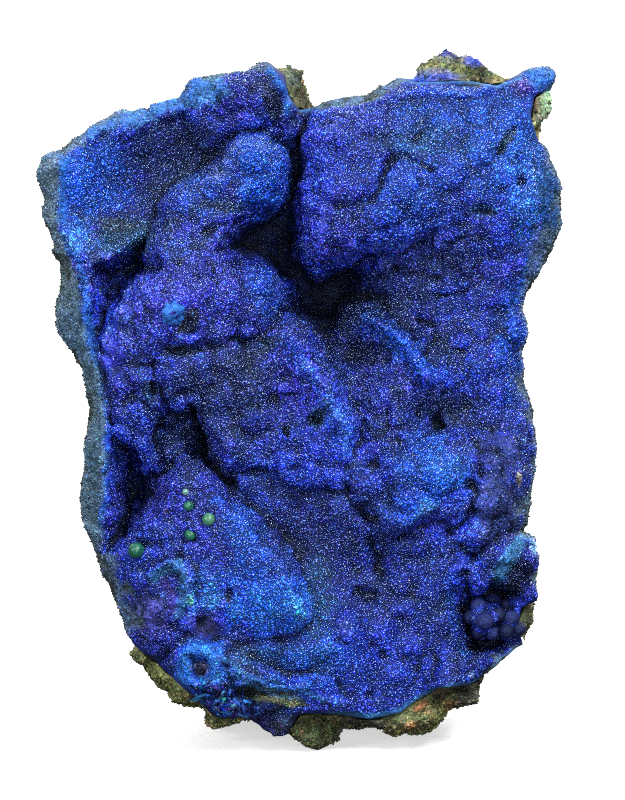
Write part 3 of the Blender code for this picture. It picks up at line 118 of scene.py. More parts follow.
# The forms of the face. Each has the corners of its edge on the grid, how far its edge is rounded
# and how steeply its side falls away, in mm and mm per mm, and its depth at places: x, y, w in mm.
FORMS = {
    "plate": (1.0, 7.0, [
        (20, 150), (70, 130), (110, 100), (150, 95), (186, 82), (200, 120), (205, 150), (200, 190),
        (160, 215), (152, 233), (136, 247), (122, 256), (108, 262), (92, 263), (50, 264),
        (30, 240), (20, 200)], [
        (45, 170, -5), (52, 210, -5), (70, 160, -3), (100, 150, -4.5), (130, 138, -6),
        (165, 130, -9), (195, 130, -11), (80, 190, -4), (110, 190, -6.5), (140, 180, -9.5),
        (175, 170, -12), (155, 212, -8), (60, 235, -3.5), (100, 222, -5), (128, 230, -4.5),
        (78, 245, -1.5), (100, 252, -0.5), (140, 236, -2.5)]),
    "top_block": (1.5, 2.0, [
        (183, 60), (250, 50), (290, 50), (304, 70), (311, 92), (316, 106), (303, 128), (292, 144),
        (276, 136), (255, 130), (235, 138), (215, 140), (200, 130), (188, 112)], [
        (200, 90, -5), (230, 86, -2), (262, 80, -1), (292, 88, -6), (240, 110, -1.5),
        (268, 108, -1), (210, 115, -5), (226, 128, -4), (285, 120, -4)]),
    "column": (2.2, 6.0, [
        (176, 196), (190, 188), (206, 176), (226, 160), (238, 142), (262, 134), (280, 145),
        (285, 165), (283, 186), (272, 202), (258, 213), (240, 224), (227, 240), (222, 256),
        (215, 285), (165, 285), (150, 254), (153, 228), (163, 208)], [
        (260, 160, 5.5), (240, 165, 5), (220, 180, 4), (200, 195, 3), (255, 190, 5), (235, 205, 4.5),
        (210, 225, 4.5), (185, 220, 3.5), (172, 244, 5), (200, 247, 5.5), (190, 268, 7.5),
        (215, 262, 6.5), (278, 150, 3), (275, 185, 3)]),
    "dome": (2.6, 6.0, [
        (164, 256), (152, 274), (134, 290), (117, 306), (109, 322), (100, 344), (98, 364),
        (112, 378), (132, 388), (156, 374), (176, 352), (200, 352), (228, 352), (250, 347),
        (272, 334), (284, 318), (279, 295), (269, 275), (248, 262), (225, 250), (205, 240),
        (180, 240)], [
        (135, 308, 6), (150, 290, 8), (182, 266, 7), (215, 268, 7), (245, 280, 6.5), (268, 302, 4.5),
        (160, 315, 10.5), (188, 298, 11), (220, 310, 9), (250, 320, 6), (200, 332, 9),
        (120, 340, 4), (110, 360, 2.5), (170, 342, 9), (150, 360, 5)]),
    "left_lobes": (1.6, 5.0, [
        (92, 350), (130, 352), (162, 360), (170, 400), (162, 424), (154, 445), (164, 466),
        (152, 469), (136, 455), (122, 442), (106, 436), (98, 400)], [
        (120, 385, 3), (142, 400, 3), (130, 430, 1.5), (145, 455, 0), (150, 380, 4)]),
    "middle_mass": (1.7, 5.0, [
        (160, 340), (200, 332), (230, 336), (255, 334), (278, 326), (294, 334), (312, 350),
        (324, 372), (345, 392), (357, 420), (354, 450), (352, 480), (345, 500), (328, 492),
        (300, 490), (280, 482), (250, 474), (230, 470), (217, 455), (208, 430), (197, 408),
        (180, 412), (166, 402), (154, 380)], [
        (180, 375, 6), (205, 370, 6.5), (235, 368, 6), (262, 358, 5.5), (200, 342, 6), (250, 340, 5),
        (290, 352, 7), (305, 365, 8),
        (322, 390, 9), (340, 420, 8.5), (345, 450, 7.5), (340, 480, 6), (300, 400, 5.5),
        (270, 390, 5.5), (240, 400, 5.5), (215, 402, 5), (225, 440, 4.5), (250, 440, 4),
        (280, 440, 4.5), (312, 450, 5.5), (300, 476, 4), (260, 464, 3.5), (190, 398, 4.5)]),
    "dark_patch": (1.0, 2.0, [
        (158, 400), (200, 400), (212, 440), (225, 475), (200, 485), (160, 470), (150, 440)], [
        (180, 420, -3), (185, 455, -3), (205, 465, -8), (160, 430, -3)]),
    "upper_right": (2.2, 6.0, [
        (307, 160), (308, 130), (310, 114), (320, 90), (345, 85), (385, 70), (415, 76), (440, 80),
        (470, 80), (500, 60), (570, 50), (575, 120), (580, 160), (590, 185), (590, 225), (565, 245),
        (560, 300), (520, 304), (490, 296), (466, 288), (446, 268), (424, 243), (400, 252),
        (385, 248), (370, 244), (355, 250), (335, 261), (320, 264), (309, 256), (304, 236),
        (305, 200)], [
        (312, 130, 2), (332, 116, 1), (345, 140, 5.5), (322, 165, 4.5), (345, 182, 6.5),
        (316, 200, 5.5), (318, 240, 5), (345, 238, 5), (375, 118, 3), (372, 168, 5.5),
        (395, 140, 4.5), (395, 205, 7), (430, 172, 6.5), (420, 220, 5), (450, 100, 2), (460, 140, 5),
        (470, 190, 6), (500, 108, 1.5), (510, 150, 4.5), (500, 200, 5), (530, 200, 3), (550, 200, -2),
        (538, 110, -1), (545, 150, -2), (460, 238, 3.5), (500, 240, 2), (540, 232, -2), (470, 268, 0.5),
        (505, 280, -0.5), (530, 285, -3), (445, 255, 0.5)]),
    "right_recess": (1.5, 2.0, [
        (350, 335), (372, 318), (386, 306), (384, 292), (376, 280), (378, 262), (384, 240),
        (420, 225), (480, 245), (570, 250), (560, 310), (500, 310), (470, 315), (440, 325),
        (425, 345), (412, 350), (395, 335), (370, 334)], [
        (360, 326, -7), (390, 290, -8), (400, 265, -6), (440, 265, -2), (480, 280, 0),
        (520, 290, -3), (420, 300, -4), (460, 300, -1.5), (500, 300, -0.5), (392, 315, -5)]),
    "right_middle": (1.8, 4.0, [
        (335, 334), (352, 320), (372, 314), (396, 321), (413, 340), (424, 330), (440, 308),
        (466, 296), (500, 286), (560, 280), (560, 450), (500, 446), (470, 440), (440, 445),
        (410, 450), (385, 452), (365, 456), (348, 446), (340, 400), (330, 378), (320, 362),
        (318, 348)], [
        (372, 325, 2), (400, 340, 3.5), (420, 362, 4.5), (430, 385, 3.5), (350, 348, -3),
        (342, 368, -0.5), (382, 392, 3.5), (370, 412, 3.5), (410, 400, 3.5), (444, 345, 0.5),
        (455, 320, -1), (480, 312, -1), (515, 312, -3), (470, 350, 0.5), (500, 360, 0),
        (522, 360, -3), (460, 385, 0), (490, 395, 0), (518, 400, -2), (442, 412, -1.5),
        (480, 415, -1), (370, 445, 3),
        (410, 440, 4), (500, 440, 0)]),
    "right_dome": (2.2, 4.0, [
        (350, 440), (385, 424), (410, 416), (440, 421), (468, 428), (484, 455), (486, 480),
        (479, 507), (456, 522), (432, 523), (408, 537), (388, 533), (374, 518), (356, 515),
        (340, 500), (338, 460)], [
        (375, 457, 4.5), (345, 470, 5.5), (352, 502, 3), (400, 430, 4), (445, 430, 3),
        (400, 445, 5.5), (430, 445, 6), (442, 470, 9), (465, 460, 6),
        (420, 490, 8), (456, 496, 6.5), (400, 510, 6), (375, 495, 4), (440, 510, 6), (396, 470, 6.5)]),
    "right_lobes": (2.4, 2.6, [
        (464, 432), (500, 426), (555, 424), (555, 480), (545, 530), (515, 536), (497, 550),
        (470, 552), (450, 534), (468, 510), (474, 480)], [
        (490, 458, 3), (510, 450, 2), (492, 500, 5), (515, 480, 1), (510, 515, 0), (475, 532, 2.5),
        (527, 455, -2)]),
    "wedge": (0.9, 5.0, [
        (165, 495), (172, 478), (184, 464), (200, 470), (214, 486), (230, 502), (252, 524),
        (274, 550), (290, 575), (302, 600), (308, 616), (298, 630), (270, 638), (248, 645),
        (225, 652), (200, 646), (185, 644), (165, 652), (130, 660), (100, 640), (90, 600),
        (85, 558), (115, 552), (134, 544), (148, 525), (158, 511)], [
        (165, 486, 5.5), (185, 474, 7), (200, 490, 8.5), (218, 512, 9.5), (242, 535, 10.5),
        (266, 562, 11), (292, 598, 10.5), (306, 616, 9.5), (270, 606, 9), (245, 600, 8),
        (222, 580, 8.5), (200, 560, 8), (175, 530, 7.5), (155, 520, 5.5), (140, 550, 4.5),
        (120, 565, 3), (162, 570, 5.5), (145, 600, 3.5), (122, 600, 1), (150, 628, 3),
        (185, 628, 3.5), (215, 632, 3), (250, 626, 5), (140, 645, -1), (260, 645, 3),
        (225, 648, 2.5), (300, 638, 4.5)]),
    "slope": (1.5, 2.6, [
        (225, 470), (300, 470), (345, 480), (370, 505), (400, 530), (440, 520), (460, 535),
        (478, 560), (457, 580), (450, 610), (455, 640), (468, 662), (478, 682), (455, 692),
        (430, 702), (400, 716), (370, 724), (330, 718), (290, 708), (250, 704), (230, 690),
        (215, 640), (260, 610), (290, 590), (260, 550), (230, 520), (210, 490)], [
        (235, 490, 0.5), (260, 500, 1), (300, 505, 0.5), (340, 515, 1.5), (290, 540, -1.5),
        (330, 560, -1), (360, 560, -2), (325, 600, 1), (350, 590, -1), (290, 634, 4),
        (265, 650, 3.5), (390, 560, -1.5),
        (420, 550, 1), (445, 560, 0), (380, 620, -0.5), (340, 628, 2.5), (300, 650, 3.5),
        (400, 640, -2), (430, 620, -1.5), (445, 650, -2), (400, 680, -3), (360, 670, -0.5),
        (320, 680, 1), (280, 690, 0), (440, 682, -4)]),
    "right_rim": (1.0, 6.0, [
        (478, 548), (500, 532), (520, 528), (560, 535), (560, 560), (556, 605), (524, 606),
        (512, 590), (490, 582), (472, 590), (462, 575)], [
        (500, 555, 0.5), (520, 545, -0.5), (532, 570, -2.5), (486, 570, -0.5), (522, 595, -3.5)]),
    "broken_crust": (1.0, 2.6, [
        (163, 656), (175, 642), (200, 636), (226, 641), (242, 655), (266, 667), (300, 671),
        (335, 682), (350, 700), (340, 713), (300, 710), (270, 707), (236, 714), (215, 714),
        (200, 700), (180, 684)], [
        (185, 655, 2), (210, 650, 3.5), (232, 665, 3.5), (260, 677, 3.5), (300, 682, 3.5),
        (330, 696, 1), (230, 700, 0), (195, 682, 0), (260, 702, -1), (290, 703, -0.5)]),
    "low_right_crust": (0.8, 5.0, [
        (445, 636), (460, 650), (480, 655), (500, 650), (530, 636), (530, 655), (497, 670),
        (480, 686), (450, 692), (432, 684)], [(460, 665, 0), (480, 665, -1.5), (503, 655, -4)]),
    "hump": (1.4, 2.2, [
        (390, 90), (400, 50), (440, 30), (475, 30), (510, 50), (524, 76), (500, 95), (470, 90),
        (440, 92), (415, 94)], [(425, 76, -2.5), (455, 62, -3), (478, 66, -4), (498, 80, -2.5)]),
    "left_wall": (0.8, 7.0, [
        (30, 262), (70, 256), (93, 262), (93, 290), (91, 330), (96, 360), (103, 385), (110, 415),
        (112, 435), (111, 470), (108, 512), (102, 549), (80, 560), (50, 500), (60, 440), (60, 400),
        (40, 350), (30, 320)], [
        (62, 300, -3), (85, 290, 2), (90, 330, 2.5), (70, 338, -1), (98, 365, 3), (82, 372, 0),
        (108, 405, 3.5), (113, 440, 4), (96, 440, 1), (111, 490, 3.5), (92, 490, 0), (105, 535, 3),
        (94, 528, 0)]),
    "foot": (2.0, 2.0, [
        (110, 636), (165, 650), (180, 674), (200, 690), (230, 706), (270, 698), (300, 702),
        (340, 708), (400, 708), (440, 680), (490, 660), (520, 690), (500, 740), (440, 765),
        (380, 765), (340, 780), (290, 780), (250, 760), (180, 760), (120, 720), (100, 660)], [
        (145, 668, -5.5), (170, 690, -6), (210, 720, -7), (240, 720, -7), (275, 720, -5),
        (300, 730, -4.5), (320, 742, -5.5), (360, 724, -8), (395, 722, -4.5), (430, 712, -4.5),
        (470, 698, -7.5)]),
    "low_right_lump": (1.2, 2.0, [(514, 598), (560, 590), (560, 640), (530, 655), (512, 642)],
                       [(530, 620, -5)]),
    "right_bump": (1.2, 2.0, [(505, 306), (540, 300), (545, 355), (515, 360), (504, 330)],
                   [(518, 330, -1.5)]),
}
FLOOR = [
    (120, 280, -15), (250, 238, -14), (293, 200, -13), (318, 290, -20), (130, 500, -15),
    (500, 610, -11), (480, 650, -11), (220, 470, -9), (60, 400, -12), (300, 120, -9),
    (150, 160, -14), (450, 300, -13), (450, 500, -10), (300, 650, -10), (530, 250, -12),
    (300, 420, -10), (520, 640, -10),
]

# Rounded lobes on the face: x, y, radius in squares, height in mm
LOBES = [
    (235, 95, 20, 1.0), (262, 92, 14, 0.8), (245, 124, 14, 0.7), (205, 100, 14, 0.8),
    (75, 240, 16, 1.0), (95, 236, 12, 0.8), (80, 172, 20, 0.5), (120, 200, 22, 0.5),
    (258, 158, 24, 1.4), (215, 186, 17, 1.1), (186, 204, 17, 1.0), (242, 196, 15, 0.9),
    (212, 218, 16, 0.8), (184, 238, 17, 0.8), (238, 140, 13, 0.9), (268, 184, 12, 0.8),
    (190, 286, 30, 1.3), (234, 296, 24, 1.0), (146, 302, 20, 1.0), (222, 336, 18, 0.8),
    (124, 314, 14, 1.0), (258, 310, 16, 0.8), (150, 338, 15, 0.8), (256, 336, 14, 0.7),
    (106, 347, 14, 1.2), (128, 350, 14, 1.0), (118, 380, 14, 1.0), (142, 374, 14, 1.0),
    (130, 410, 14, 1.0), (142, 445, 12, 1.0), (150, 398, 12, 0.9), (122, 432, 10, 0.8),
    (180, 378, 15, 0.8), (206, 366, 15, 0.8), (234, 366, 16, 0.8), (262, 362, 15, 0.7),
    (290, 352, 15, 1.0), (308, 370, 14, 1.1), (324, 394, 16, 1.2), (340, 420, 17, 1.2),
    (343, 450, 15, 0.9), (250, 392, 16, 0.8), (278, 388, 14, 0.8), (222, 398, 15, 0.8),
    (255, 422, 16, 0.8), (232, 440, 14, 0.7), (312, 452, 15, 0.8), (284, 458, 15, 0.8),
    (334, 478, 14, 0.9), (196, 400, 11, 0.8),
    (330, 130, 22, 1.2), (340, 188, 26, 1.4), (320, 238, 18, 1.1), (345, 235, 15, 0.8),
    (372, 128, 18, 0.9), (400, 124, 17, 0.8), (380, 212, 20, 1.0), (400, 190, 18, 1.0),
    (425, 205, 20, 1.0), (450, 175, 22, 1.0), (445, 130, 20, 0.9), (480, 150, 22, 0.8),
    (475, 200, 20, 0.8), (505, 170, 18, 0.7), (480, 112, 18, 0.7), (440, 230, 17, 0.8),
    (500, 235, 17, 0.8), (530, 215, 14, 0.8), (545, 205, 12, 0.7), (525, 260, 14, 0.8),
    (448, 62, 16, 1.2), (472, 66, 14, 1.0), (430, 74, 12, 0.8),
    (400, 336, 12, 0.9), (414, 354, 13, 0.9), (427, 374, 13, 0.9), (405, 392, 16, 0.8),
    (378, 398, 16, 0.8), (455, 340, 16, 0.8), (482, 326, 16, 0.8), (500, 352, 16, 0.8),
    (475, 370, 18, 0.8), (506, 392, 16, 0.8), (515, 330, 13, 1.0), (375, 425, 14, 0.8),
    (400, 420, 14, 0.8), (520, 418, 13, 0.8),
    (436, 466, 26, 1.4), (398, 470, 20, 1.0), (455, 496, 18, 0.9), (418, 504, 19, 0.9),
    (374, 482, 15, 0.8), (405, 442, 14, 0.8), (440, 436, 14, 0.8), (490, 502, 20, 1.4),
    (510, 470, 15, 1.0), (488, 462, 15, 1.0), (508, 446, 14, 1.0), (477, 532, 15, 1.0),
    (512, 512, 13, 1.0), (338, 508, 16, 0.9), (505, 556, 15, 0.9), (528, 560, 12, 0.8),
    (182, 482, 14, 0.8), (150, 612, 20, 1.6), (190, 622, 13, 1.1), (209, 628, 12, 1.0),
    (135, 580, 15, 0.8), (170, 596, 13, 0.7), (240, 610, 16, 0.6),
    (400, 580, 16, 1.2), (350, 622, 17, 1.3), (402, 606, 14, 1.0), (432, 590, 15, 0.8),
    (378, 632, 14, 0.8), (412, 642, 15, 0.8), (438, 622, 14, 0.8), (396, 674, 15, 0.8),
    (430, 666, 14, 0.8), (330, 646, 14, 0.8), (305, 655, 14, 0.7), (462, 664, 12, 0.9),
    (242, 657, 13, 0.9), (272, 676, 12, 0.8), (302, 680, 12, 0.7),
    (155, 682, 14, 1.2), (182, 698, 14, 1.2), (215, 722, 14, 1.2), (285, 722, 18, 1.4),
    (314, 738, 16, 1.4), (334, 726, 13, 1.2), (400, 722, 18, 1.4), (432, 714, 16, 1.4),
    (470, 698, 16, 1.4), (530, 620, 13, 1.4), (300, 88, 13, 1.2),
    (176, 312, 8, 2.0),
]

# The lumps of grape-like balls in the hollow on the lower right: x, y, radius in squares, height
GRAPE_FLOOR = -11.0      # mm, depth of the hollow they stand in
GRAPE_LUMPS = [(484, 617, 22, 7.6), (510, 626, 16, 6.4)]

# The balls on those lumps: x, y, radius in squares
GRAPES = [
    (478, 605, 7.5), (493, 602, 8), (471, 618, 7), (484, 621, 8.5), (498, 615, 7.5), (478, 633, 6.5),
    (493, 633, 7), (507, 606, 6), (511, 619, 7), (506, 631, 7), (519, 629, 6),
]

# Pits in the face: x, y, radii across and down in squares, depth in mm
PITS = [
    (232, 150, 5, 6, 1.2), (222, 165, 4, 4, 1.0), (220, 100, 6, 5, 1.2), (153, 392, 6, 9, 2.0),
    (288, 428, 5, 5, 1.8), (318, 418, 9, 11, 1.8), (520, 184, 5.5, 5.5, 1.3), (499, 190, 5, 4, 0.7),
    (480, 212, 12, 6, 1.0), (416, 138, 5, 5, 1.0), (364, 356, 24, 12, 1.8), (437, 420, 8, 7, 3.0),
    (371, 462, 6, 5, 1.2), (400, 445, 6, 5, 1.2), (366, 512, 12, 9, 1.6), (470, 485, 6, 8, 2.0),
    (229, 596, 5, 5, 0.8), (370, 600, 9, 7, 1.6), (385, 655, 8, 6, 1.4), (370, 690, 6, 5, 1.2),
    (201, 668, 9, 9, 1.4), (262, 692, 32, 7, 2.4), (360, 592, 8, 8, 1.4),
    (190, 535, 8, 7, 1.2), (165, 512, 9, 7, 1.2), (143, 543, 8, 7, 1.4), (190, 325, 9, 8, 1.6),
    (207, 621, 13, 13, 1.2),
]

# Creases and crevices: half width in squares, depth in mm, then the points they run through
CREASES = [
    (3.5, 1.2, [(240, 347), (262, 339), (282, 328)]),
    (3.5, 1.8, [(511, 134), (503, 143), (497, 154)]),
    (5.0, 2.0, [(370, 202), (380, 189), (388, 172), (396, 160)]),
    (4.5, 0.9, [(405, 156), (417, 163), (429, 174)]),
    (4.0, 1.8, [(420, 320), (432, 328), (435, 342), (426, 356)]),
    (3.0, 1.2, [(438, 297), (452, 292), (466, 291)]),
    (4.0, 1.8, [(398, 536), (412, 527), (432, 514)]),
    (3.5, 1.0, [(160, 346), (180, 351), (200, 350)]),
    (4.0, 1.6, [(96, 300), (95, 330), (100, 362), (108, 392), (116, 425)]),
    (6.0, 1.6, [(372, 540), (381, 554), (378, 572)]),
    (5.0, 4.0, [(193, 404), (200, 425), (206, 450), (212, 469), (223, 479), (238, 481)]),
    (5.0, 2.0, [(138, 646), (152, 652), (166, 658)]),
    (3.5, 1.5, [(206, 236), (222, 222), (240, 218)]),
]

# Ridges: half width in squares, height in mm, then the points they run through
RIDGES = [
    (6.0, 1.8, [(286, 338), (305, 360), (318, 382), (333, 402), (345, 430), (345, 454)]),
    (6.0, 1.8, [(368, 322), (386, 325), (401, 341), (415, 360), (428, 375)]),
    (5.0, 1.4, [(50, 168), (68, 158), (85, 145), (101, 130), (130, 126), (150, 121), (168, 112),
                (182, 104)]),
    (4.0, 1.4, [(270, 72), (281, 86), (290, 98), (287, 112)]),
    (4.0, 1.4, [(152, 575), (172, 562), (192, 570), (190, 600)]),
    (3.5, 1.0, [(222, 652), (245, 670), (270, 685), (300, 685), (335, 700)]),
    (4.0, 1.0, [(453, 572), (450, 600), (452, 630), (465, 655)]),
    (3.5, 1.0, [(305, 115), (330, 110), (370, 104), (405, 92), (440, 94), (480, 94), (520, 88)]),
]

# The raised ring of crust round the small hole low on the left
RING = (200, 664, 18, 8.0, 2.4)   # x, y, radius, half width in squares, height in mm

# Malachite balls: x, y, radius in squares
MALACHITE_BALLS = [
    (138, 549, 8.0), (192, 533, 6.0), (210, 518, 6.5), (190, 505, 5.0), (187, 491, 3.4),
]

# Depth of the back of the specimen and of the seam behind the crust: x, y, w in mm
BACK = [
    (60, 160, -26), (120, 130, -30), (250, 90, -29), (320, 110, -33), (450, 70, -27),
    (540, 90, -25), (100, 300, -30), (200, 220, -35), (300, 300, -36), (420, 200, -36),
    (540, 220, -28), (110, 500, -30), (220, 420, -37), (360, 450, -38), (510, 420, -31),
    (130, 620, -31), (250, 600, -38), (400, 600, -38), (520, 600, -31), (180, 700, -36),
    (300, 740, -38), (430, 720, -37),
]
SEAM = [
    (40, 160, -12), (250, 80, -11), (430, 90, -9), (540, 100, -10), (60, 300, -14),
    (120, 280, -19), (262, 236, -19), (318, 290, -24), (130, 500, -19), (190, 150, -17),
    (495, 620, -17), (400, 220, -15), (550, 250, -12), (90, 480, -13), (250, 400, -15),
    (380, 380, -16), (530, 420, -13), (110, 600, -12), (250, 560, -14), (400, 560, -14),
    (530, 560, -13), (160, 650, -10), (300, 690, -11), (440, 670, -12),
]


def to_face(x, y):
    """Millimetres across and up the face from a place on the drawing grid."""
    return (np.asarray(x, float) - GRID_MIDDLE) * SQUARE, (
        GRID_FOOT - np.asarray(y, float)) * SQUARE + FOOT_RISE


def to_world(points):
    """Metres in the object's own frame from millimetres in the face frame."""
    u, v, w = points[:, 0], points[:, 1], points[:, 2]
    sine, cosine = math.sin(LEAN), math.cos(LEAN)
    out = np.empty_like(points)
    out[:, 0] = u + ORIGIN_SHIFT[0]
    out[:, 1] = v * sine - w * cosine + ORIGIN_SHIFT[1]
    out[:, 2] = v * cosine + w * sine
    return out * 0.001


def outline_distance(corners, u, v):
    """Distance from an outline over a plane of points, less than zero inside it."""
    pu, pv = to_face([c[0] for c in corners], [c[1] for c in corners])
    nearest = np.full(u.shape, FAR)
    inside = np.zeros(u.shape, bool)
    for i in range(len(pu)):
        au, av, bu, bv = pu[i - 1], pv[i - 1], pu[i], pv[i]
        du, dv = bu - au, bv - av
        along = np.clip(((u - au) * du + (v - av) * dv) / (du * du + dv * dv + LEAST), 0, 1)
        gap = (u - au - along * du) ** 2 + (v - av - along * dv) ** 2
        nearest = np.minimum(nearest, gap)
        crosses = (av > v) != (bv > v)
        inside ^= crosses & (u < du * (v - av) / (dv if dv else LEAST) + au)
    return np.where(inside, -1, 1) * np.sqrt(nearest)


def spot_distance(x, y, u, v):
    """Distance from a place on the drawing grid over a plane of points."""
    cu, cv = to_face(x, y)
    return np.hypot(u - cu, v - cv)


def path_distance(points, u, v):
    """Distance from an open line of points over a plane of points."""
    pu, pv = to_face([p[0] for p in points], [p[1] for p in points])
    nearest = np.full(u.shape, FAR)
    for i in range(1, len(pu)):
        du, dv = pu[i] - pu[i - 1], pv[i] - pv[i - 1]
        along = np.clip(((u - pu[i - 1]) * du + (v - pv[i - 1]) * dv) / (du * du + dv * dv), 0, 1)
        gap = (u - pu[i - 1] - along * du) ** 2 + (v - pv[i - 1] - along * dv) ** 2
        nearest = np.minimum(nearest, gap)
    return np.sqrt(nearest)


def smooth_sheet(places, u, v, soft):
    """A smooth sheet through scattered depths."""
    table = np.array(places, float)
    pu, pv = to_face(table[:, 0], table[:, 1])
    middle = table[:, 2].mean()
    spread = np.hypot(pu[:, None] - pu, pv[:, None] - pv)
    weights = np.linalg.solve(np.sqrt(spread ** 2 + soft ** 2) - SHEET_EASE * np.eye(len(pu)),
                              table[:, 2] - middle)
    sheet = np.full(u.shape, middle)
    for k in range(len(pu)):
        sheet += weights[k] * np.sqrt((u - pu[k]) ** 2 + (v - pv[k]) ** 2 + soft ** 2)
    return sheet


def soft_max(a, b, k):
    """The larger of two values, with the corner between them rounded."""
    mix = np.clip(0.5 + 0.5 * (a - b) / k, 0, 1)
    return b + (a - b) * mix + k * mix * (1 - mix)


def steepness(field, u, v):
    """How much longer a height above a sheet is than the distance from the sheet."""
    du = np.gradient(field, u[:, 0], axis=0)
    dv = np.gradient(field, v[0, :], axis=1)
    return np.sqrt(1 + du ** 2 + dv ** 2)


def ripple(u, v, w, size, seed):
    """Smooth irregular waves about as long as size, between minus one and one."""
    source = np.random.default_rng(seed)
    total = 0.0
    for _ in range(RIPPLE_WAVES):
        way = source.normal(size=3)
        way *= 2 * math.pi / size / np.linalg.norm(way)
        total = total + np.sin(u * way[0] + v * way[1] + w * way[2] + source.uniform(0, 2 * math.pi))
    return total / RIPPLE_SUM


def waved(u, v, w, waves):
    """Ripples added up. Each has its length, height and seed."""
    return sum(ripple(u, v, w, length, seed) * height for length, height, seed in waves)


def nubs(u, v, w, size, seed):
    """Close-packed rounded lumps about as wide as size, from nought to one."""
    table = np.random.default_rng(seed).random((NUB_SPOTS, 3)).astype(np.float32)
    place = np.stack([u, v, w], axis=-1).astype(np.float32) / size
    home = np.floor(place).astype(np.int64)
    nearest = np.full(place.shape[:-1], FAR, np.float32)
    for shift in np.ndindex(3, 3, 3):
        cell = home + np.array(shift) - 1
        key = (cell[..., 0] * NUB_MIX[0]) ^ (cell[..., 1] * NUB_MIX[1]) ^ (cell[..., 2] * NUB_MIX[2])
        away = cell + table[key % NUB_SPOTS] - place
        nearest = np.minimum(nearest, (away ** 2).sum(axis=-1))
    return np.sqrt(np.maximum(0, 1 - nearest / NUB_REACH))


def face_depth(u, v):
    """Depth of the face over the plane, with its forms, lobes, ridges, pits and creases."""
    still = np.zeros_like(u)
    bent_u, bent_v = u, v
    for length, height, across, up in EDGE_WAVES:
        bent_u = bent_u + ripple(u, v, still, length, across) * height
        bent_v = bent_v + ripple(u, v, still, length, up) * height
    depth = smooth_sheet(FLOOR, u, v, FLOOR_SOFT)
    for edge_round, fall, corners, places in FORMS.values():
        edge = outline_distance(corners, bent_u, bent_v)
        sheet = (smooth_sheet(places, u, v, FORM_SOFT) if len(places) > 2
                 else np.full_like(u, places[0][2]))
        over = np.maximum(edge + edge_round, 0)
        wall = np.where(over < edge_round, fall * over ** 2 / (2 * edge_round),
                        fall * (over - edge_round / 2))
        depth = soft_max(depth, sheet - wall, FORM_ROUND)
    for half, height, points in RIDGES:
        reach = path_distance(points, bent_u, bent_v) / (half * SQUARE)
        depth = depth + height * np.exp(-reach ** 2)
    reach = (spot_distance(*RING[:2], bent_u, bent_v) - RING[2] * SQUARE) / (RING[3] * SQUARE)
    depth = depth + RING[4] * np.exp(-reach ** 2)
    for x, y, radius, height in GRAPE_LUMPS:
        reach = spot_distance(x, y, bent_u, bent_v) / (radius * SQUARE)
        depth = np.maximum(depth, GRAPE_FLOOR + height * (1 - reach ** 4))
    ground = depth.copy()
    for x, y, radius in GRAPES:
        away = spot_distance(x, y, u, v)
        round_top = np.sqrt(np.maximum((radius * SQUARE) ** 2 - away ** 2, 0))
        depth = np.where(away < radius * SQUARE, ground + round_top, depth)
    for x, y, radius, height in LOBES:
        reach = spot_distance(x, y, bent_u, bent_v) / (radius * SQUARE)
        depth = np.maximum(depth, ground + LOBE_SHARE * height * (
            LOBE_SHAPE[0] - LOBE_SHAPE[1] * reach ** 2))
    for x, y, across, down, deep in PITS:
        cu, cv = to_face(x, y)
        reach = np.hypot((bent_u - cu) / (across * SQUARE), (bent_v - cv) / (down * SQUARE))
        depth = depth - deep * np.exp(-reach ** 4)
    for half, deep, points in CREASES:
        reach = path_distance(points, bent_u, bent_v) / (half * SQUARE)
        depth = depth - deep * np.exp(-reach ** 2)
    return depth


def skin_spots(axes, field):
    """Which points of a field lie near its surface, and where they are."""
    near = np.abs(field) < SKIN
    where = np.nonzero(near)
    return near, tuple(a[k] for a, k in zip(axes, where))


def body_field(u, v, w):
    """The whole specimen over a grid of points, less than zero inside it."""
    plane_u, plane_v = np.meshgrid(u, v, indexing="ij")
    flat = (plane_u[:, :, None], plane_v[:, :, None], w[None, None, :])
    edge = outline_distance(OUTLINE, plane_u, plane_v)[:, :, None]
    front = face_depth(plane_u, plane_v)
    back = smooth_sheet(BACK, plane_u, plane_v, BACK_SOFT)
    draw_in = (FRONT_ROUND * np.maximum(0, w - WIDEST[1]) ** 2
               + BACK_ROUND * np.maximum(0, WIDEST[0] - w) ** 2)[None, None, :]
    rough = waved(*flat, SIDE_WAVES)
    fade = np.clip(np.abs(w - CALM_RIM[0]) / CALM_RIM[1], 0, 1)[None, None, :]
    side = edge + draw_in + np.maximum(rough + SIDE_RISE, 0) * fade
    front_gap = (flat[2] - front[:, :, None]) / steepness(front, plane_u, plane_v)[:, :, None]
    field = soft_max(side, front_gap, RIM_ROUND)
    back_gap = back[:, :, None] - flat[2] + waved(*flat, BACK_WAVES)
    field = soft_max(field, back_gap, BACK_EDGE_ROUND).astype(np.float32)
    near, spots = skin_spots((u, v, w), field)
    for size, height, seed in LUMPS:
        field[near] -= height * (nubs(*spots, size, seed) - 0.5)
    return field


def crust_field(u, v, w):
    """The block of space that holds the azurite crust, less than zero inside it."""
    plane_u, plane_v = np.meshgrid(u, v, indexing="ij")
    edge = outline_distance(CRUST_EDGE, plane_u, plane_v)[:, :, None]
    seam = smooth_sheet(SEAM, plane_u, plane_v, SEAM_SOFT)[:, :, None]
    field = soft_max(edge, seam - w[None, None, :], BLOCK_ROUND)
    return np.maximum(field, w[None, None, :] - (W_RANGE[1] + BLOCK_TOP)).astype(np.float32)


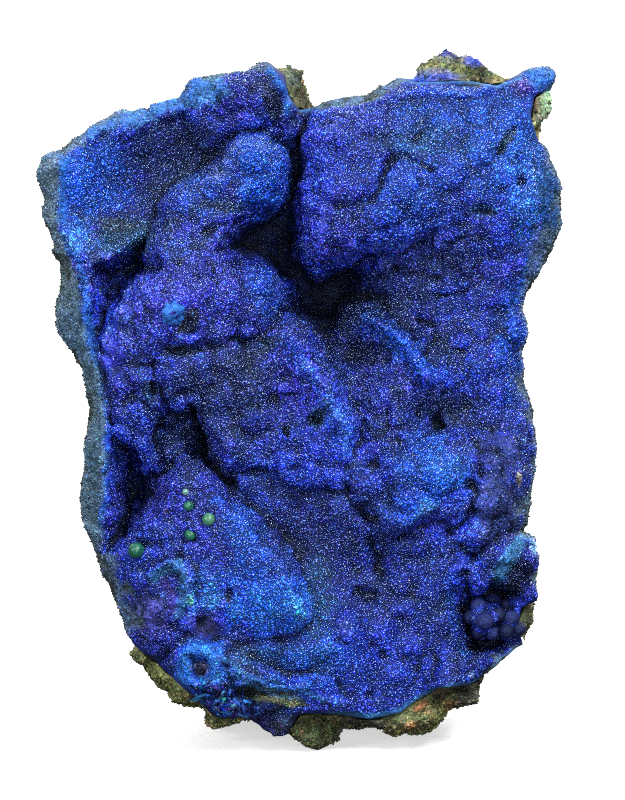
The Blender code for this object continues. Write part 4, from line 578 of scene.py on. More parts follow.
def settle_signs(field):
    """Fill the few grid cells whose corners would make the surface touch itself."""
    tiny = np.float32(-1e-3)
    for _ in range(SIGN_ROUNDS):
        inside = field < 0
        fill = np.zeros(field.shape, bool)
        for axis in range(3):
            other = [a for a in range(3) if a != axis]

            def corner(i, j):
                cut = [slice(None)] * 3
                cut[other[0]] = slice(i, field.shape[other[0]] - 1 + i)
                cut[other[1]] = slice(j, field.shape[other[1]] - 1 + j)
                return tuple(cut)

            a, b, c, d = (inside[corner(i, j)] for i, j in ((0, 0), (1, 0), (0, 1), (1, 1)))
            crossed = (a == d) & (b == c) & (a != b)
            for place, value in (((0, 0), a), ((1, 0), b), ((0, 1), c), ((1, 1), d)):
                fill[corner(*place)] |= crossed & ~value
        corners = [tuple(slice(k, n - 1 + k) for k, n in zip(place, field.shape))
                   for place in np.ndindex(2, 2, 2)]
        cells = [inside[c] for c in corners]
        count = sum(c.astype(np.int8) for c in cells)
        for k in range(4):
            pair = (cells[k], cells[7 - k])
            alone = (count == 2) & pair[0] & pair[1]
            hole = (count == 6) & ~pair[0] & ~pair[1]
            fill[corners[k]] |= hole
            for c in corners:
                fill[c] |= alone & ~inside[c]
        if not fill.any():
            break
        field[fill] = tiny
    return field


def moved_back(cells, axes, shift):
    """Numbers of grid cells, each less by the shift along two axes."""
    cells = cells.copy()
    cells[:, axes] -= shift
    return cells


def surface_mesh(field, u, v, w):
    """Vertices and four-sided faces of the surface where the field is zero."""
    field = settle_signs(field)
    inside = field < 0
    cell_shape = tuple(n - 1 for n in field.shape)
    total = np.zeros(cell_shape + (3,), np.float32)
    hits = np.zeros(cell_shape, np.float32)
    crossings = []
    for axis in range(3):
        low = [slice(None)] * 3
        high = [slice(None)] * 3
        low[axis], high[axis] = slice(0, -1), slice(1, None)
        low, high = tuple(low), tuple(high)
        crossed = inside[low] != inside[high]
        where = np.argwhere(crossed)
        a, b = field[low][crossed], field[high][crossed]
        point = where.astype(np.float32)
        point[:, axis] += a / (a - b)
        crossings.append((where, inside[low][crossed]))
        other = [k for k in range(3) if k != axis]
        for shift in np.ndindex(2, 2):
            cell = moved_back(where, other, shift)
            good = ((cell >= 0) & (cell < cell_shape)).all(axis=1)
            index = np.ravel_multi_index(cell[good].T, cell_shape)
            np.add.at(total.reshape(-1, 3), index, point[good])
            np.add.at(hits.reshape(-1), index, 1)
    used = hits > 0
    number = np.full(cell_shape, -1, np.int64)
    number[used] = np.arange(used.sum())
    points = total[used] / hits[used][:, None]
    faces = []
    for axis, (where, starts_inside) in enumerate(crossings):
        other = [k for k in range(3) if k != axis]
        good = (where[:, other[0]] > 0) & (where[:, other[1]] > 0)
        where, starts = where[good], starts_inside[good]
        ring = [number[tuple(moved_back(where, other, shift).T)]
                for shift in ((1, 1), (0, 1), (0, 0), (1, 0))]
        quad = np.stack(ring, axis=1)
        outwards = starts if axis != 1 else ~starts
        quad[~outwards] = quad[~outwards][:, ::-1]
        faces.append(quad)
    spacing = np.array([u[1] - u[0], v[1] - v[0], w[1] - w[0]])
    start = np.array([u[0], v[0], w[0]])
    return start + points * spacing, np.concatenate(faces)


def largest_shell(points, faces):
    """Drop the small loose shells and keep the largest one."""
    label = np.arange(len(points))
    links = np.concatenate([faces[:, [0, 1]], faces[:, [1, 2]], faces[:, [2, 3]]])
    while True:
        low = np.minimum(label[links[:, 0]], label[links[:, 1]])
        new = label.copy()
        np.minimum.at(new, links[:, 0], low)
        np.minimum.at(new, links[:, 1], low)
        new = new[new]
        new = new[new]
        if (new == label).all():
            break
        label = new
    names, counts = np.unique(label, return_counts=True)
    keep = label == names[counts.argmax()]
    number = np.cumsum(keep) - 1
    return points[keep], number[faces[keep[faces[:, 0]]]]


def grid_axes(cell):
    """Even grid points over the space round the specimen."""
    return [np.arange(low, high + cell, cell) for low, high in (U_RANGE, V_RANGE, W_RANGE)]


def evaluated(obj):
    """A plain mesh of an object with its modifiers applied."""
    graph = bpy.context.evaluated_depsgraph_get()
    return bpy.data.meshes.new_from_object(obj.evaluated_get(graph))


def cut_foot(mesh):
    """Cut a closed mesh flat at the height of the ground."""
    work = bmesh.new()
    work.from_mesh(mesh)
    bmesh.ops.bisect_plane(work, geom=work.verts[:] + work.edges[:] + work.faces[:], dist=1e-6,
                           plane_co=(0, 0, 0), plane_no=(0, 0, -1), clear_outer=True)
    rim = [e for e in work.edges if e.is_boundary]
    bmesh.ops.holes_fill(work, edges=rim, sides=0)
    bmesh.ops.recalc_face_normals(work, faces=work.faces[:])
    bmesh.ops.triangulate(work, faces=[f for f in work.faces if len(f.verts) > 3])
    work.to_mesh(mesh)
    work.free()
    return mesh


# Looks. Sizes are in mm where nothing else is said.
CRUST_CELL = 0.55        # spacing of the points for the crust's fine mesh
ROCK_CELL = 0.7          # and for the host rock's
SEAM_KEEPS = 0.12        # share of their triangles that the hidden sides of the seam keep
SEAM_DEPTH = 0.7         # how near the seam a side counts as hidden
THIN_FACTOR = 1000       # how much sooner the hidden triangles go
CRUST_LUMPS = [(2.5, 0.95, 23), (1.3, 0.5, 22)]   # width, height and seed
LUMPS_IN = 0.8           # share of a small lump's height that lies inside the solid
EVEN_SOFT = 0.3          # softness of the ovals in EVEN_PLACES and of BLADE_PLACE
ROCK_SCOOPS = [(4.2, 1.1, 31), (2.0, 0.7, 32)]   # width, depth and seed
SCOOPS_OUT = 0.3         # share of a scoop's depth by which the stone round it stands out
ROCK_SHAKE = 0.2         # how far each point of the rock's mesh is moved
SHAKE_SEED, CRUST_SEED, ROCK_SEED = 33, 7, 8   # of the shake and of the grains on each
CRUST_ROUNDS = (5, 50)   # rounds of smoothing for the small and the wide hollows
ROCK_ROUNDS = (5, 30)

# The paint
PATCH_WAVES = [(5.0, 0.22, 41), (1.8, 0.2, 42)]   # of the patches' edges: length, height, seed
BAND_WAVES = [(1.5, 0.3, 46)]                     # of the bands' edges
FACE_WAVES = [(3.0, 0.35, 44), (1.2, 0.3, 45)]    # of the broken faces' edges and the rim's
FRONT_WAVES = [(3.0, 4.5, 57)]                    # of the end of the rock's patches
CRUST_MOTTLES = [        # colour, strength, the ripple where it starts and is full, length, seed
    ("violet", 0.5, -0.5, 0.5, 15.0, 43), ("dusk", 0.5, 0.2, 0.7, 6.0, 47),
    ("deepgreen", 0.4, 0.35, 0.8, 4.0, 48)]
ROCK_MOTTLES = [
    ("moss", 0.6, 0.05, 0.7, 14.0, 51), ("stone", 0.8, 0.05, 0.7, 9.0, 52),
    ("soil", 0.8, 0.05, 0.7, 6.0, 53), ("brown", 0.35, 0.05, 0.7, 7.0, 54),
    ("moss", 0.4, 0.05, 0.7, 2.5, 55), ("tan", 0.15, 0.05, 0.7, 3.0, 56)]
# Painted shade in hollows: gain on even ground, what each mm of a small and of a wide hollow takes off,
# least and most gain
CRUST_SHADING = (0.92, 3.8, 0.25, 0.12, 1.6)
ROCK_SHADING = (1.35, 2.0, 0.25, 0.2, 2.0)
BARE_SHADING = (1, 1.6, 0, 0.4, 1.25)   # the same again where the crust has no crystals
HOLLOW_CELL = 0.75       # spacing of the points where the hollows are measured
HOLLOW_U, HOLLOW_V = (-48, 48), (-8, 114)   # the space that those points take up
HOLLOW_WIDTH = 4.0       # how wide the hollows are
HOLLOW_START, HOLLOW_FULL = 1.8, 8.0   # depths between which a hollow's painted shade comes in
HOLLOW_SHADE = 0.85        # how strong the painted shade in hollows is
BAND_EDGE = (0.6, 1.3)   # half widths from a band's line between which it fades
FACE_EDGE = 0.4          # how far inside and outside its outline a broken face fades
RIM_DEPTHS = (1.4, 2.4)  # depths behind the face between which the rim loses its crystals
RIM_SLATE = 0.75         # strength of the rim's colour
SIDE_DEPTHS = (3.0, 5.5)   # depths between which the side turns to moss
SIDE_WAVE = 4            # how much more its edge waves than the rim's
SIDE_MOSS = 0.85         # strength of its colour
FRONT_FADE = (-15.0, -10.5)   # depths between which the rock's patches come in
WHITE = (1.0, 1.0, 1.0)

# How the grains stand
CRUST_GRAINS = 146000    # crystals on the crust
ROCK_GRAINS = 34000      # chips on the rock
PIECE_GRAINS = 48000     # most grains in one piece
FOOT_CLEAR = 0.0004      # m, the height below which there are none
CRUST_FACING = (0.45, 0.55)   # how close they stand at the sides, and how much closer in front
ROCK_FACING = (0.3, 0.7)
DEEP_GAIN, DEEP_LOSS = 1.4, 0.2   # turn a hollow's painted shade into the share of its crystals that take the shaded, duller copy of the druse's material
GLINT_SHARE = 0.05       # share of the crystals that glint white
GLINT_RIPPLE = (2.5, 49)   # length and seed of the ripple that bunches the glints
GLINT_STEP = (-0.7, 0.9)   # and where in it they start and are closest
GLINT_BUNCH = 2          # how much closer they are there
GLINT_HOLLOW = 0.8       # fewer glints in hollows, as painted shade: share of them that a full hollow takes away
DARK_SHARE = 0.12        # share of the grains that are dark green
DARK_MIX = 0.3           # share of a dark grain's own colour and of the green in it
SIZE_SPREAD = 0.35       # how much the grains' sizes vary
SIZE_LIMITS = (0.5, 2.2)
CHIP_SINK = 0.3          # share of its height that a grain's foot lies below the surface
CHIP_TURN = 0.4          # radians, how far each corner of the foot is turned at most
CHIP_REACH = (0.75, 1.3)   # least and most reach of a corner
CHIP_SLIDE = 0.45        # how far the tip is moved at most, in reaches
CRYSTAL_SIZE = 0.23      # middle reach of a crystal from its axis
HUE_JITTER = (0.38, 0.33, 0.24)   # how much the crystals' red, green and blue vary
EARTH_JITTER = (0.16, 0.14, 0.16)   # the same for the chips on rims and rock
# Grains: reach, least and most height in reaches, how far they lean, and jitter
CRYSTAL = (CRYSTAL_SIZE, 0.25, 0.8, 0.3, HUE_JITTER)
GRAINS = {
    "azurite_druse": CRYSTAL, "azurite_glint": CRYSTAL, "azurite_shaded_deep": CRYSTAL,
    "azurite_broken": (CRYSTAL_SIZE, 0.25, 1.0, 0.45, EARTH_JITTER),
    "azurite_blades": (CRYSTAL_SIZE * 1.9, 1.2, 3.5, 1.0, HUE_JITTER),
    "rock_chips": (0.32, 0.25, 0.8, 0.4, EARTH_JITTER),
}
BLADE_PLACE = (222, 702, 36, 15, -26)   # the patch of blades at the foot, an oval
BLADE_THIN = 2.5         # one grain in so many there is a blade
BLADE_COLOURS = ("royal", "azure", "violet", "sky", "indigo", "navy")

# Balls. Lumps: their size in radii and first seed. Bulge and shade: least, and what lumps add.
BALL_ROUNDS = 4          # how often a ball's faces are divided
MALACHITE_LUMPS, MALACHITE_BULGE, MALACHITE_SHADE = (0.4, 60), (0.97, 0.05), (0.45, 0.8)
AZURE_LUMPS, AZURE_BULGE, AZURE_SHADE = (0.3, 70), (0.9, 0.16), (0.2, 0.55)
AZURE_FINE = (0.14, 90)  # the same for still smaller lumps
AZURE_FINE_SHADE = 0.45  # and what they add to the shade
MIDDLE_GRAIN = 0.5       # the stored value where it doesn't vary

# Materials: scale and detail of the noise, least and most that the noise multiplies the colour
# by, the same for the stored value, its name, the roughness or its two ends, the bump in mm, and
# the index of refraction, specular level and specular tint
SKY_TINT, BLUE_TINT = (0.5, 0.65, 1.0), (0.42, 0.6, 1.0)
LOOKS = {
    "azurite_crust": (1500, 4, (0.5, 1.5), (0.35, 0.8), "bare", 0.6, 0.2, (1.6, 0.3, SKY_TINT)),
    "azurite_druse": (900, 2, (0.65, 1.4), (0.2, 2.1), "grain", (0.02, 0.25), 0,
                      (1.9, 1.0, BLUE_TINT)),
    "azurite_glint": (900, 2, (0.8, 1.3), (0.5, 1.8), "grain", (0.02, 0.32), 0,
                      (2.0, 1.0, (0.8, 0.9, 1.0))),
    # a shaded copy of the druse's material, duller, for the crystals in hollows
    "azurite_shaded_deep": (900, 2, (0.7, 1.3), (0.4, 1.6), "grain", (0.2, 0.6), 0, (1.6, 0.5, BLUE_TINT)),
    "azurite_broken": (1500, 4, (0.6, 1.4), (0.45, 1.6), "grain", 0.4, 0, (1.65, 0.5, BLUE_TINT)),
    "azurite_ball": (3200, 4, (0.2, 1.8), (1.0, 1.0), "grain", 0.55, 0.2, (1.6, 0.4, SKY_TINT)),
    "malachite_ball": (2600, 4, (0.45, 1.5), (1.0, 1.0), "grain", 0.35, 0.05,
                       (1.7, 0.5, (0.7, 1.0, 0.85))),
    "host_rock": (1100, 8, (0.35, 1.6), (0.5, 1.5), "grain", 0.8, 0.35, (1.5, 0.3, WHITE)),
    "rock_chips": (1100, 5, (0.5, 1.5), (0.35, 1.8), "grain", 0.75, 0, (1.5, 0.3, WHITE)),
}
NOISE_ROUGHNESS = 0.65
NOISE_RANGE = (0.3, 0.7)   # the noise's values that give the least and the most

# Studio, in metres and watts
AIM = (0.0, 0.0, 0.055)
LIGHTS = [
    ("key", (0.75, -1.45, 1.6), 0.8, 48), ("left", (-1.5, -1.5, 1.0), 0.8, 27),
    ("front", (0.15, -2.3, 0.5), 0.7, 20), ("top", (0.0, 0.1, 2.2), 1.2, 20),
    ("back_right", (1.3, 1.5, 1.4), 1.0, 36), ("back_left", (-1.3, 1.5, 1.4), 1.0, 30),
]
AMBIENT = 0.08
FLOOR_REACH = 4
FLOOR_LOOK = {"Base Color": (0.7, 0.7, 0.7, 1), "Roughness": 0.9, "Specular IOR Level": 0.1,
              "Emission Color": (1, 1, 1, 1), "Emission Strength": 0.6}
CAMERA_PLACE = (1.875, 54.0, -10.0)   # mm, the point of the face frame in the picture's middle
PICTURE_WIDTH = 0.12     # m, what the sensor's long side takes in at that point
LENS, SENSOR = 480, 36   # mm
CLIP = (0.05, 20)

# Colours: red, green and blue from 0 to 255
COLOURS = {
    "royal": (30, 80, 196), "blue": (34, 54, 170), "violet": (50, 50, 160), "indigo": (38, 44, 112),
    "navy": (18, 24, 66), "dusk": (42, 54, 118), "teal": (32, 88, 124), "azure": (46, 112, 204),
    "sky": (74, 140, 200), "pale": (130, 180, 230), "slate": (98, 124, 140), "grey": (84, 104, 104),
    # the near-black is laid as painted shade in hollows, pits and creases
    "mauve": (66, 68, 128), "purple": (78, 62, 150), "shade_ink": (17, 18, 26), "lobe": (48, 60, 118),
    "grape": (36, 44, 104), "deepgreen": (20, 44, 40), "olive": (100, 106, 68), "soil": (38, 38, 32),
    "brown": (92, 68, 50), "orange": (180, 112, 76), "tan": (200, 172, 124), "cream": (206, 196, 172),
    "stone": (66, 66, 62), "green": (140, 172, 140), "moss": (60, 68, 48),
}

# Soft oval patches end with x, y, their radii across and down in squares, and their turn in
# degrees where they have one. Patches of colour on the crust: name, strength, softness, oval
# The near-black patches are painted shade in pits, crevices and recesses.
CRUST_PATCHES = [
    # plate and top
    # the dusk patch on the plate's upper right is painted shade under the top rim
    ("royal", 0.95, 0.3, 98, 180, 42, 40), ("dusk", 0.85, 0.3, 176, 158, 50, 40, 15),
    ("indigo", 0.8, 0.4, 246, 84, 26, 14), ("violet", 0.7, 0.4, 236, 112, 24, 14),
    ("navy", 0.7, 0.3, 276, 112, 9, 22, 20),
    # column and ledge
    ("royal", 0.95, 0.4, 262, 172, 28, 40), ("royal", 0.5, 0.4, 200, 195, 30, 20, -30),
    ("dusk", 0.6, 0.4, 222, 210, 24, 8), ("deepgreen", 0.5, 0.4, 206, 240, 8, 16, -20),
    ("teal", 0.4, 0.4, 180, 252, 14, 12), ("teal", 0.85, 0.3, 126, 236, 30, 17),
    ("olive", 0.4, 0.4, 118, 226, 22, 6, -10), ("azure", 0.6, 0.3, 78, 240, 22, 20),
    # dome
    ("violet", 0.6, 0.5, 200, 300, 64, 50), ("royal", 0.6, 0.4, 262, 290, 16, 30, 20),
    ("moss", 0.8, 0.2, 189, 324, 14, 8, 48), ("shade_ink", 0.7, 0.2, 184, 328, 12, 3, 48),
    ("deepgreen", 0.85, 0.4, 181, 353, 20, 6, 5), ("deepgreen", 0.8, 0.4, 264, 347, 24, 7, 26),
    ("navy", 0.6, 0.4, 242, 362, 20, 9, 20), ("violet", 0.4, 0.4, 112, 352, 14, 16),
    ("dusk", 0.5, 0.4, 135, 330, 12, 40, 20),
    # middle mass and left lobes
    ("violet", 0.4, 0.4, 118, 400, 16, 24), ("dusk", 0.7, 0.5, 228, 385, 44, 50),
    ("dusk", 0.6, 0.4, 300, 318, 22, 26, -40), ("dusk", 0.6, 0.4, 334, 358, 18, 16, -40),
    # the royal strip at (300, 362) and the azure one at (312, 378) run along the ridge as a painted
    # highlight; the navy at (338, 336) is painted shade by the central recess
    ("violet", 0.7, 0.4, 306, 386, 20, 50, 32), ("royal", 0.5, 0.4, 300, 362, 9, 30, 34),
    ("royal", 0.5, 0.4, 338, 424, 16, 36, 20), ("azure", 0.15, 0.4, 312, 378, 5, 30, 34),
    ("navy", 0.8, 0.4, 338, 336, 22, 13, -35), ("violet", 0.4, 0.4, 285, 400, 20, 40, -20),
    ("blue", 0.7, 0.4, 300, 455, 40, 22), ("deepgreen", 0.9, 0.3, 318, 418, 9, 11),
    ("deepgreen", 0.9, 0.3, 287, 428, 6, 6), ("deepgreen", 0.7, 0.4, 152, 392, 8, 12),
    ("deepgreen", 0.5, 0.4, 160, 425, 8, 14), ("shade_ink", 0.7, 0.4, 185, 440, 22, 30),
    # upper right
    ("shade_ink", 0.85, 0.4, 360, 308, 34, 20), ("blue", 0.6, 0.5, 345, 150, 40, 34),
    ("violet", 0.5, 0.5, 330, 225, 34, 34), ("royal", 0.9, 0.5, 500, 150, 40, 48),
    ("azure", 0.45, 0.5, 524, 190, 16, 54), ("royal", 0.5, 0.5, 410, 200, 44, 40),
    ("teal", 0.5, 0.5, 424, 142, 40, 20), ("royal", 0.6, 0.5, 450, 110, 60, 20),
    ("shade_ink", 0.85, 0.3, 505, 142, 6, 15, -32), ("teal", 0.5, 0.3, 504, 143, 4, 10, -32),
    ("indigo", 0.7, 0.3, 520, 184, 7, 7), ("teal", 0.5, 0.4, 480, 212, 14, 8),
    # right recess and middle
    # the dusk patches over the right recess and the navy patches at (362, 354) and (436, 346) are
    # painted shade in those hollows
    ("dusk", 0.8, 0.4, 430, 262, 52, 26), ("dusk", 0.6, 0.4, 392, 292, 22, 24),
    ("violet", 0.4, 0.5, 500, 275, 26, 24), ("royal", 0.85, 0.4, 402, 346, 42, 15, -38),
    ("navy", 0.8, 0.4, 362, 354, 26, 14, 10), ("navy", 0.6, 0.4, 436, 346, 14, 14),
    ("dusk", 0.8, 0.4, 446, 406, 34, 18), ("navy", 0.35, 0.4, 450, 440, 30, 8),
    ("blue", 0.7, 0.5, 500, 370, 34, 56), ("royal", 0.7, 0.4, 512, 345, 16, 60),
    # dome and lobes on the right
    # the azure patch on the right dome's top is a painted highlight
    ("royal", 0.95, 0.4, 430, 466, 40, 30, -20), ("azure", 0.35, 0.4, 446, 470, 20, 18),
    ("royal", 0.8, 0.4, 400, 508, 26, 16), ("lobe", 0.9, 0.3, 498, 508, 28, 32),
    ("lobe", 0.7, 0.4, 500, 456, 26, 24), ("sky", 0.8, 0.3, 509, 556, 26, 8, 58),
    ("soil", 0.5, 0.3, 489, 553, 10, 5), ("pale", 0.8, 0.3, 533, 548, 4, 11),
    ("soil", 0.8, 0.3, 470, 485, 4, 5), ("cream", 0.9, 0.2, 518, 478, 3, 9),
    ("olive", 0.7, 0.3, 478, 85, 14, 4), ("purple", 0.6, 0.4, 520, 86, 10, 10),
    ("pale", 0.4, 0.5, 541, 76, 10, 6, 15), ("slate", 0.5, 0.4, 549, 74, 6, 6),
    ("navy", 0.85, 0.3, 517, 573, 13, 22, -10), ("shade_ink", 0.9, 0.3, 503, 589, 20, 9, 20),
    ("shade_ink", 0.85, 0.3, 466, 652, 14, 9), ("pale", 0.9, 0.2, 470, 673, 3, 3),
    # top
    ("slate", 0.8, 0.3, 262, 67, 16, 6, -10), ("shade_ink", 0.8, 0.3, 272, 104, 8, 26, 15),
    ("deepgreen", 0.6, 0.3, 224, 208, 24, 6, -8),
    # wedge
    # the royal and azure patches over the wedge's right facet are partly its own colour and partly
    # painted light on that lit facet
    ("royal", 0.95, 0.35, 272, 596, 42, 44), ("royal", 0.95, 0.35, 254, 548, 20, 50, 32),
    ("royal", 0.5, 0.4, 288, 600, 16, 36, 25), ("azure", 0.4, 0.4, 205, 590, 18, 30),
    ("blue", 0.8, 0.5, 146, 566, 44, 34), ("violet", 0.5, 0.5, 165, 500, 26, 26),
    ("mauve", 0.7, 0.3, 150, 610, 20, 22), ("purple", 0.5, 0.3, 207, 622, 15, 15),
    ("stone", 0.5, 0.3, 207, 624, 11, 11), ("sky", 0.9, 0.25, 190, 598, 5, 6),
    ("soil", 0.8, 0.3, 229, 596, 5, 5), ("brown", 0.8, 0.3, 168, 510, 3, 4),
    # slope and broken crust
    ("teal", 0.6, 0.5, 285, 655, 60, 12), ("royal", 0.6, 0.5, 330, 665, 60, 26),
    ("blue", 0.8, 0.5, 400, 640, 50, 50), ("dusk", 0.6, 0.5, 330, 530, 70, 34, 20),
    ("teal", 0.5, 0.5, 318, 600, 14, 50), ("dusk", 0.5, 0.5, 375, 600, 20, 20),
    ("royal", 0.8, 0.3, 200, 662, 26, 23), ("azure", 0.45, 0.3, 200, 662, 25, 22),
    ("tan", 0.4, 0.3, 202, 667, 8, 8), ("shade_ink", 0.7, 0.4, 228, 704, 40, 16, -22),
    ("purple", 0.5, 0.4, 262, 724, 26, 14, -40), ("moss", 0.7, 0.4, 290, 724, 22, 12),
    ("azure", 0.4, 0.4, 250, 690, 50, 20, -15), ("soil", 0.85, 0.25, 264, 694, 38, 10, -12),
    ("deepgreen", 0.7, 0.3, 248, 690, 20, 8, -12), ("olive", 0.75, 0.3, 276, 695, 26, 7, -12),
    ("deepgreen", 0.6, 0.3, 254, 670, 34, 5, -22), ("indigo", 0.6, 0.3, 460, 668, 30, 12, 28),
]

# Painted light and shade: places where the crust is made lighter or darker: gain, softness, oval
CRUST_LIGHT_AND_SHADE = [
    # plate, top and column
    (0.5, 0.3, 132, 232, 34, 18, 5), (0.75, 0.4, 165, 205, 14, 30), (0.8, 0.4, 190, 150, 40, 20, 15),
    (1.4, 0.5, 262, 200, 16, 16), (1.4, 0.5, 232, 228, 20, 16),
    # upper right
    (1.35, 0.4, 314, 182, 18, 54), (1.5, 0.5, 385, 246, 60, 16, 6), (1.3, 0.5, 514, 236, 26, 50),
    # dome and left lobes
    (1.5, 0.5, 122, 318, 28, 34), (1.8, 0.4, 103, 332, 12, 22), (1.25, 0.4, 190, 300, 50, 26),
    (1.3, 0.5, 160, 345, 40, 18), (0.6, 0.4, 244, 360, 30, 10, 20), (1.1, 0.4, 126, 434, 14, 26),
    # ridges and middle
    (1.35, 0.5, 318, 404, 28, 48, 28), (1.4, 0.5, 348, 446, 30, 18, -20), (1.35, 0.5, 298, 478, 44, 14),
    (1.3, 0.5, 345, 482, 26, 20), (1.35, 0.5, 450, 382, 28, 14),
    # right dome and lobes
    (1.7, 0.4, 450, 516, 40, 20, -10), (1.8, 0.4, 466, 582, 16, 24), (1.3, 0.4, 512, 462, 12, 14),
    (0.35, 0.3, 463, 626, 12, 28), (0.5, 0.3, 492, 648, 30, 10, 15), (0.55, 0.4, 510, 576, 22, 16),
    (0.75, 0.4, 440, 616, 20, 30),
    # wedge and slope
    (1.45, 0.5, 256, 604, 60, 32), (1.4, 0.5, 200, 590, 20, 34), (1.25, 0.5, 320, 610, 26, 44, 20),
    (1.3, 0.5, 362, 642, 56, 20), (1.25, 0.5, 415, 668, 30, 14, 20), (1.3, 0.4, 202, 660, 32, 30),
    (1.15, 0.4, 262, 696, 64, 14, -12), (1.3, 0.4, 300, 460, 30, 14),
    # painted shade in hollows and dark bands
    (0.55, 0.4, 388, 318, 30, 16, -20), (0.7, 0.4, 232, 395, 36, 34), (0.6, 0.4, 420, 300, 30, 14),
    (0.75, 0.4, 440, 330, 26, 16), (0.7, 0.4, 440, 405, 36, 12), (0.75, 0.4, 362, 550, 50, 18, 10),
    (0.75, 0.4, 375, 592, 30, 14), (0.7, 0.4, 262, 486, 24, 10), (0.75, 0.4, 400, 450, 16, 14),
    (0.75, 0.4, 395, 580, 20, 20), (0.7, 0.4, 180, 382, 16, 12), (0.75, 0.4, 398, 425, 16, 16),
    # painted light on lit tops and slopes all over the face
    (1.3, 0.5, 325, 400, 30, 50, 25), (1.3, 0.5, 170, 350, 50, 24), (1.25, 0.5, 200, 130, 50, 24, 15),
    (1.25, 0.5, 516, 230, 22, 60), (1.5, 0.5, 390, 250, 60, 14, 6), (1.3, 0.5, 315, 180, 20, 60),
    (1.25, 0.5, 345, 465, 40, 24), (1.5, 0.5, 450, 520, 44, 22, -10), (1.3, 0.5, 414, 505, 30, 16),
    (1.6, 0.5, 245, 606, 60, 26), (1.3, 0.5, 210, 570, 26, 40), (1.25, 0.5, 370, 650, 50, 20),
    (1.3, 0.5, 225, 690, 60, 30, -20), (1.4, 0.5, 300, 695, 50, 12, -10), (1.3, 0.5, 105, 330, 16, 40),
    (1.3, 0.5, 445, 385, 36, 14), (1.3, 0.5, 262, 200, 14, 20), (1.3, 0.5, 70, 200, 20, 50),
    (1.25, 0.5, 518, 150, 16, 60), (1.3, 0.5, 140, 298, 26, 30), (1.7, 0.4, 107, 318, 12, 28),
    (1.5, 0.4, 375, 256, 44, 14, 8), (1.25, 0.5, 455, 505, 26, 50), (1.3, 0.4, 170, 405, 14, 26),
    (1.3, 0.5, 168, 500, 24, 24), (1.3, 0.5, 300, 390, 24, 50, 30), (1.9, 0.3, 202, 667, 8, 8),
    (1.5, 0.5, 322, 703, 34, 10), (1.2, 0.5, 345, 700, 60, 16),
    # place by place
    (0.8, 0.4, 152, 242, 16, 12), (1.35, 0.5, 396, 240, 26, 14, 6), (1.35, 0.5, 430, 242, 20, 14),
    (1.7, 0.4, 116, 276, 12, 20), (1.5, 0.4, 288, 290, 14, 34), (1.4, 0.4, 392, 276, 16, 14),
    (0.75, 0.5, 198, 274, 28, 12), (1.25, 0.5, 186, 306, 14, 14), (0.75, 0.4, 356, 308, 16, 12),
    (0.82, 0.5, 114, 344, 12, 12), (1.25, 0.5, 152, 344, 14, 12), (1.35, 0.5, 222, 340, 18, 12),
    (1.4, 0.5, 392, 342, 18, 12, -30), (0.85, 0.4, 424, 344, 12, 12), (0.78, 0.4, 186, 374, 12, 12),
    (0.8, 0.4, 324, 376, 14, 14), (0.85, 0.4, 392, 378, 14, 14), (1.2, 0.5, 428, 376, 16, 12),
    (1.35, 0.4, 186, 412, 14, 14), (1.2, 0.5, 152, 410, 14, 14), (1.25, 0.5, 222, 408, 16, 14),
    (1.25, 0.5, 322, 410, 14, 14), (1.3, 0.5, 424, 412, 16, 12), (1.6, 0.4, 118, 444, 14, 20),
    (1.2, 0.5, 220, 444, 16, 14), (0.85, 0.5, 392, 446, 14, 12), (0.8, 0.5, 492, 446, 16, 14),
    (0.85, 0.5, 322, 476, 14, 12), (1.35, 0.5, 118, 478, 12, 14), (1.2, 0.5, 118, 548, 14, 16),
    (1.3, 0.5, 456, 548, 16, 14), (1.3, 0.5, 120, 582, 14, 16), (1.35, 0.5, 458, 582, 14, 16),
    (0.85, 0.5, 358, 580, 16, 12), (1.25, 0.5, 254, 614, 20, 16), (1.2, 0.5, 290, 616, 16, 16),
    (0.9, 0.5, 390, 612, 16, 14), (1.3, 0.5, 152, 646, 16, 14), (0.8, 0.5, 458, 648, 12, 12),
    (1.5, 0.4, 496, 646, 14, 10), (1.2, 0.5, 188, 682, 14, 12), (1.2, 0.5, 252, 676, 20, 8, -15),
    (1.35, 0.5, 290, 680, 22, 8, -10), (1.2, 0.5, 322, 682, 16, 12), (1.25, 0.5, 424, 682, 18, 12, 10),
    (1.25, 0.5, 458, 682, 14, 10, 20), (0.8, 0.5, 254, 138, 16, 16), (1.3, 0.5, 288, 208, 12, 16),
    # walls
    (1.4, 0.4, 548, 212, 16, 56), (1.3, 0.4, 530, 280, 14, 24), (1.35, 0.4, 75, 300, 14, 70),
    (1.3, 0.4, 102, 460, 14, 90),
]

# Broken faces without crystals: colour, strength, and the outline on the grid
BROKEN_FACES = [
    ("slate", 0.95, [(30, 160), (48, 156), (60, 156), (61, 190), (59, 228), (72, 262), (80, 290),
                     (84, 320), (89, 345), (99, 372), (105, 405), (106, 455), (104, 490),
                     (98, 525), (96, 550), (60, 540), (60, 400), (20, 300)]),
    ("teal", 0.3, [(60, 300), (92, 300), (99, 372), (105, 405), (106, 455), (104, 490), (98, 525),
                   (96, 550), (60, 540)]),
    ("azure", 0.5, [(60, 156), (68, 158), (68, 222), (58, 225), (61, 190)]),
    ("sky", 0.6, [(30, 150), (60, 130), (100, 100), (140, 90), (180, 60), (200, 72), (222, 74),
                  (228, 92), (214, 107), (183, 108), (162, 116), (145, 126), (112, 130),
                  (87, 140), (68, 152), (47, 157)]),
    ("teal", 0.7, [(541, 165), (570, 160), (570, 240), (553, 262), (540, 240), (537, 200)]),
    ("slate", 0.6, [(534, 226), (560, 230), (553, 262), (525, 300), (518, 300), (528, 262)]),
    ("azure", 0.8, [(524, 70), (560, 62), (556, 84), (546, 90), (534, 92), (526, 84)]),
]

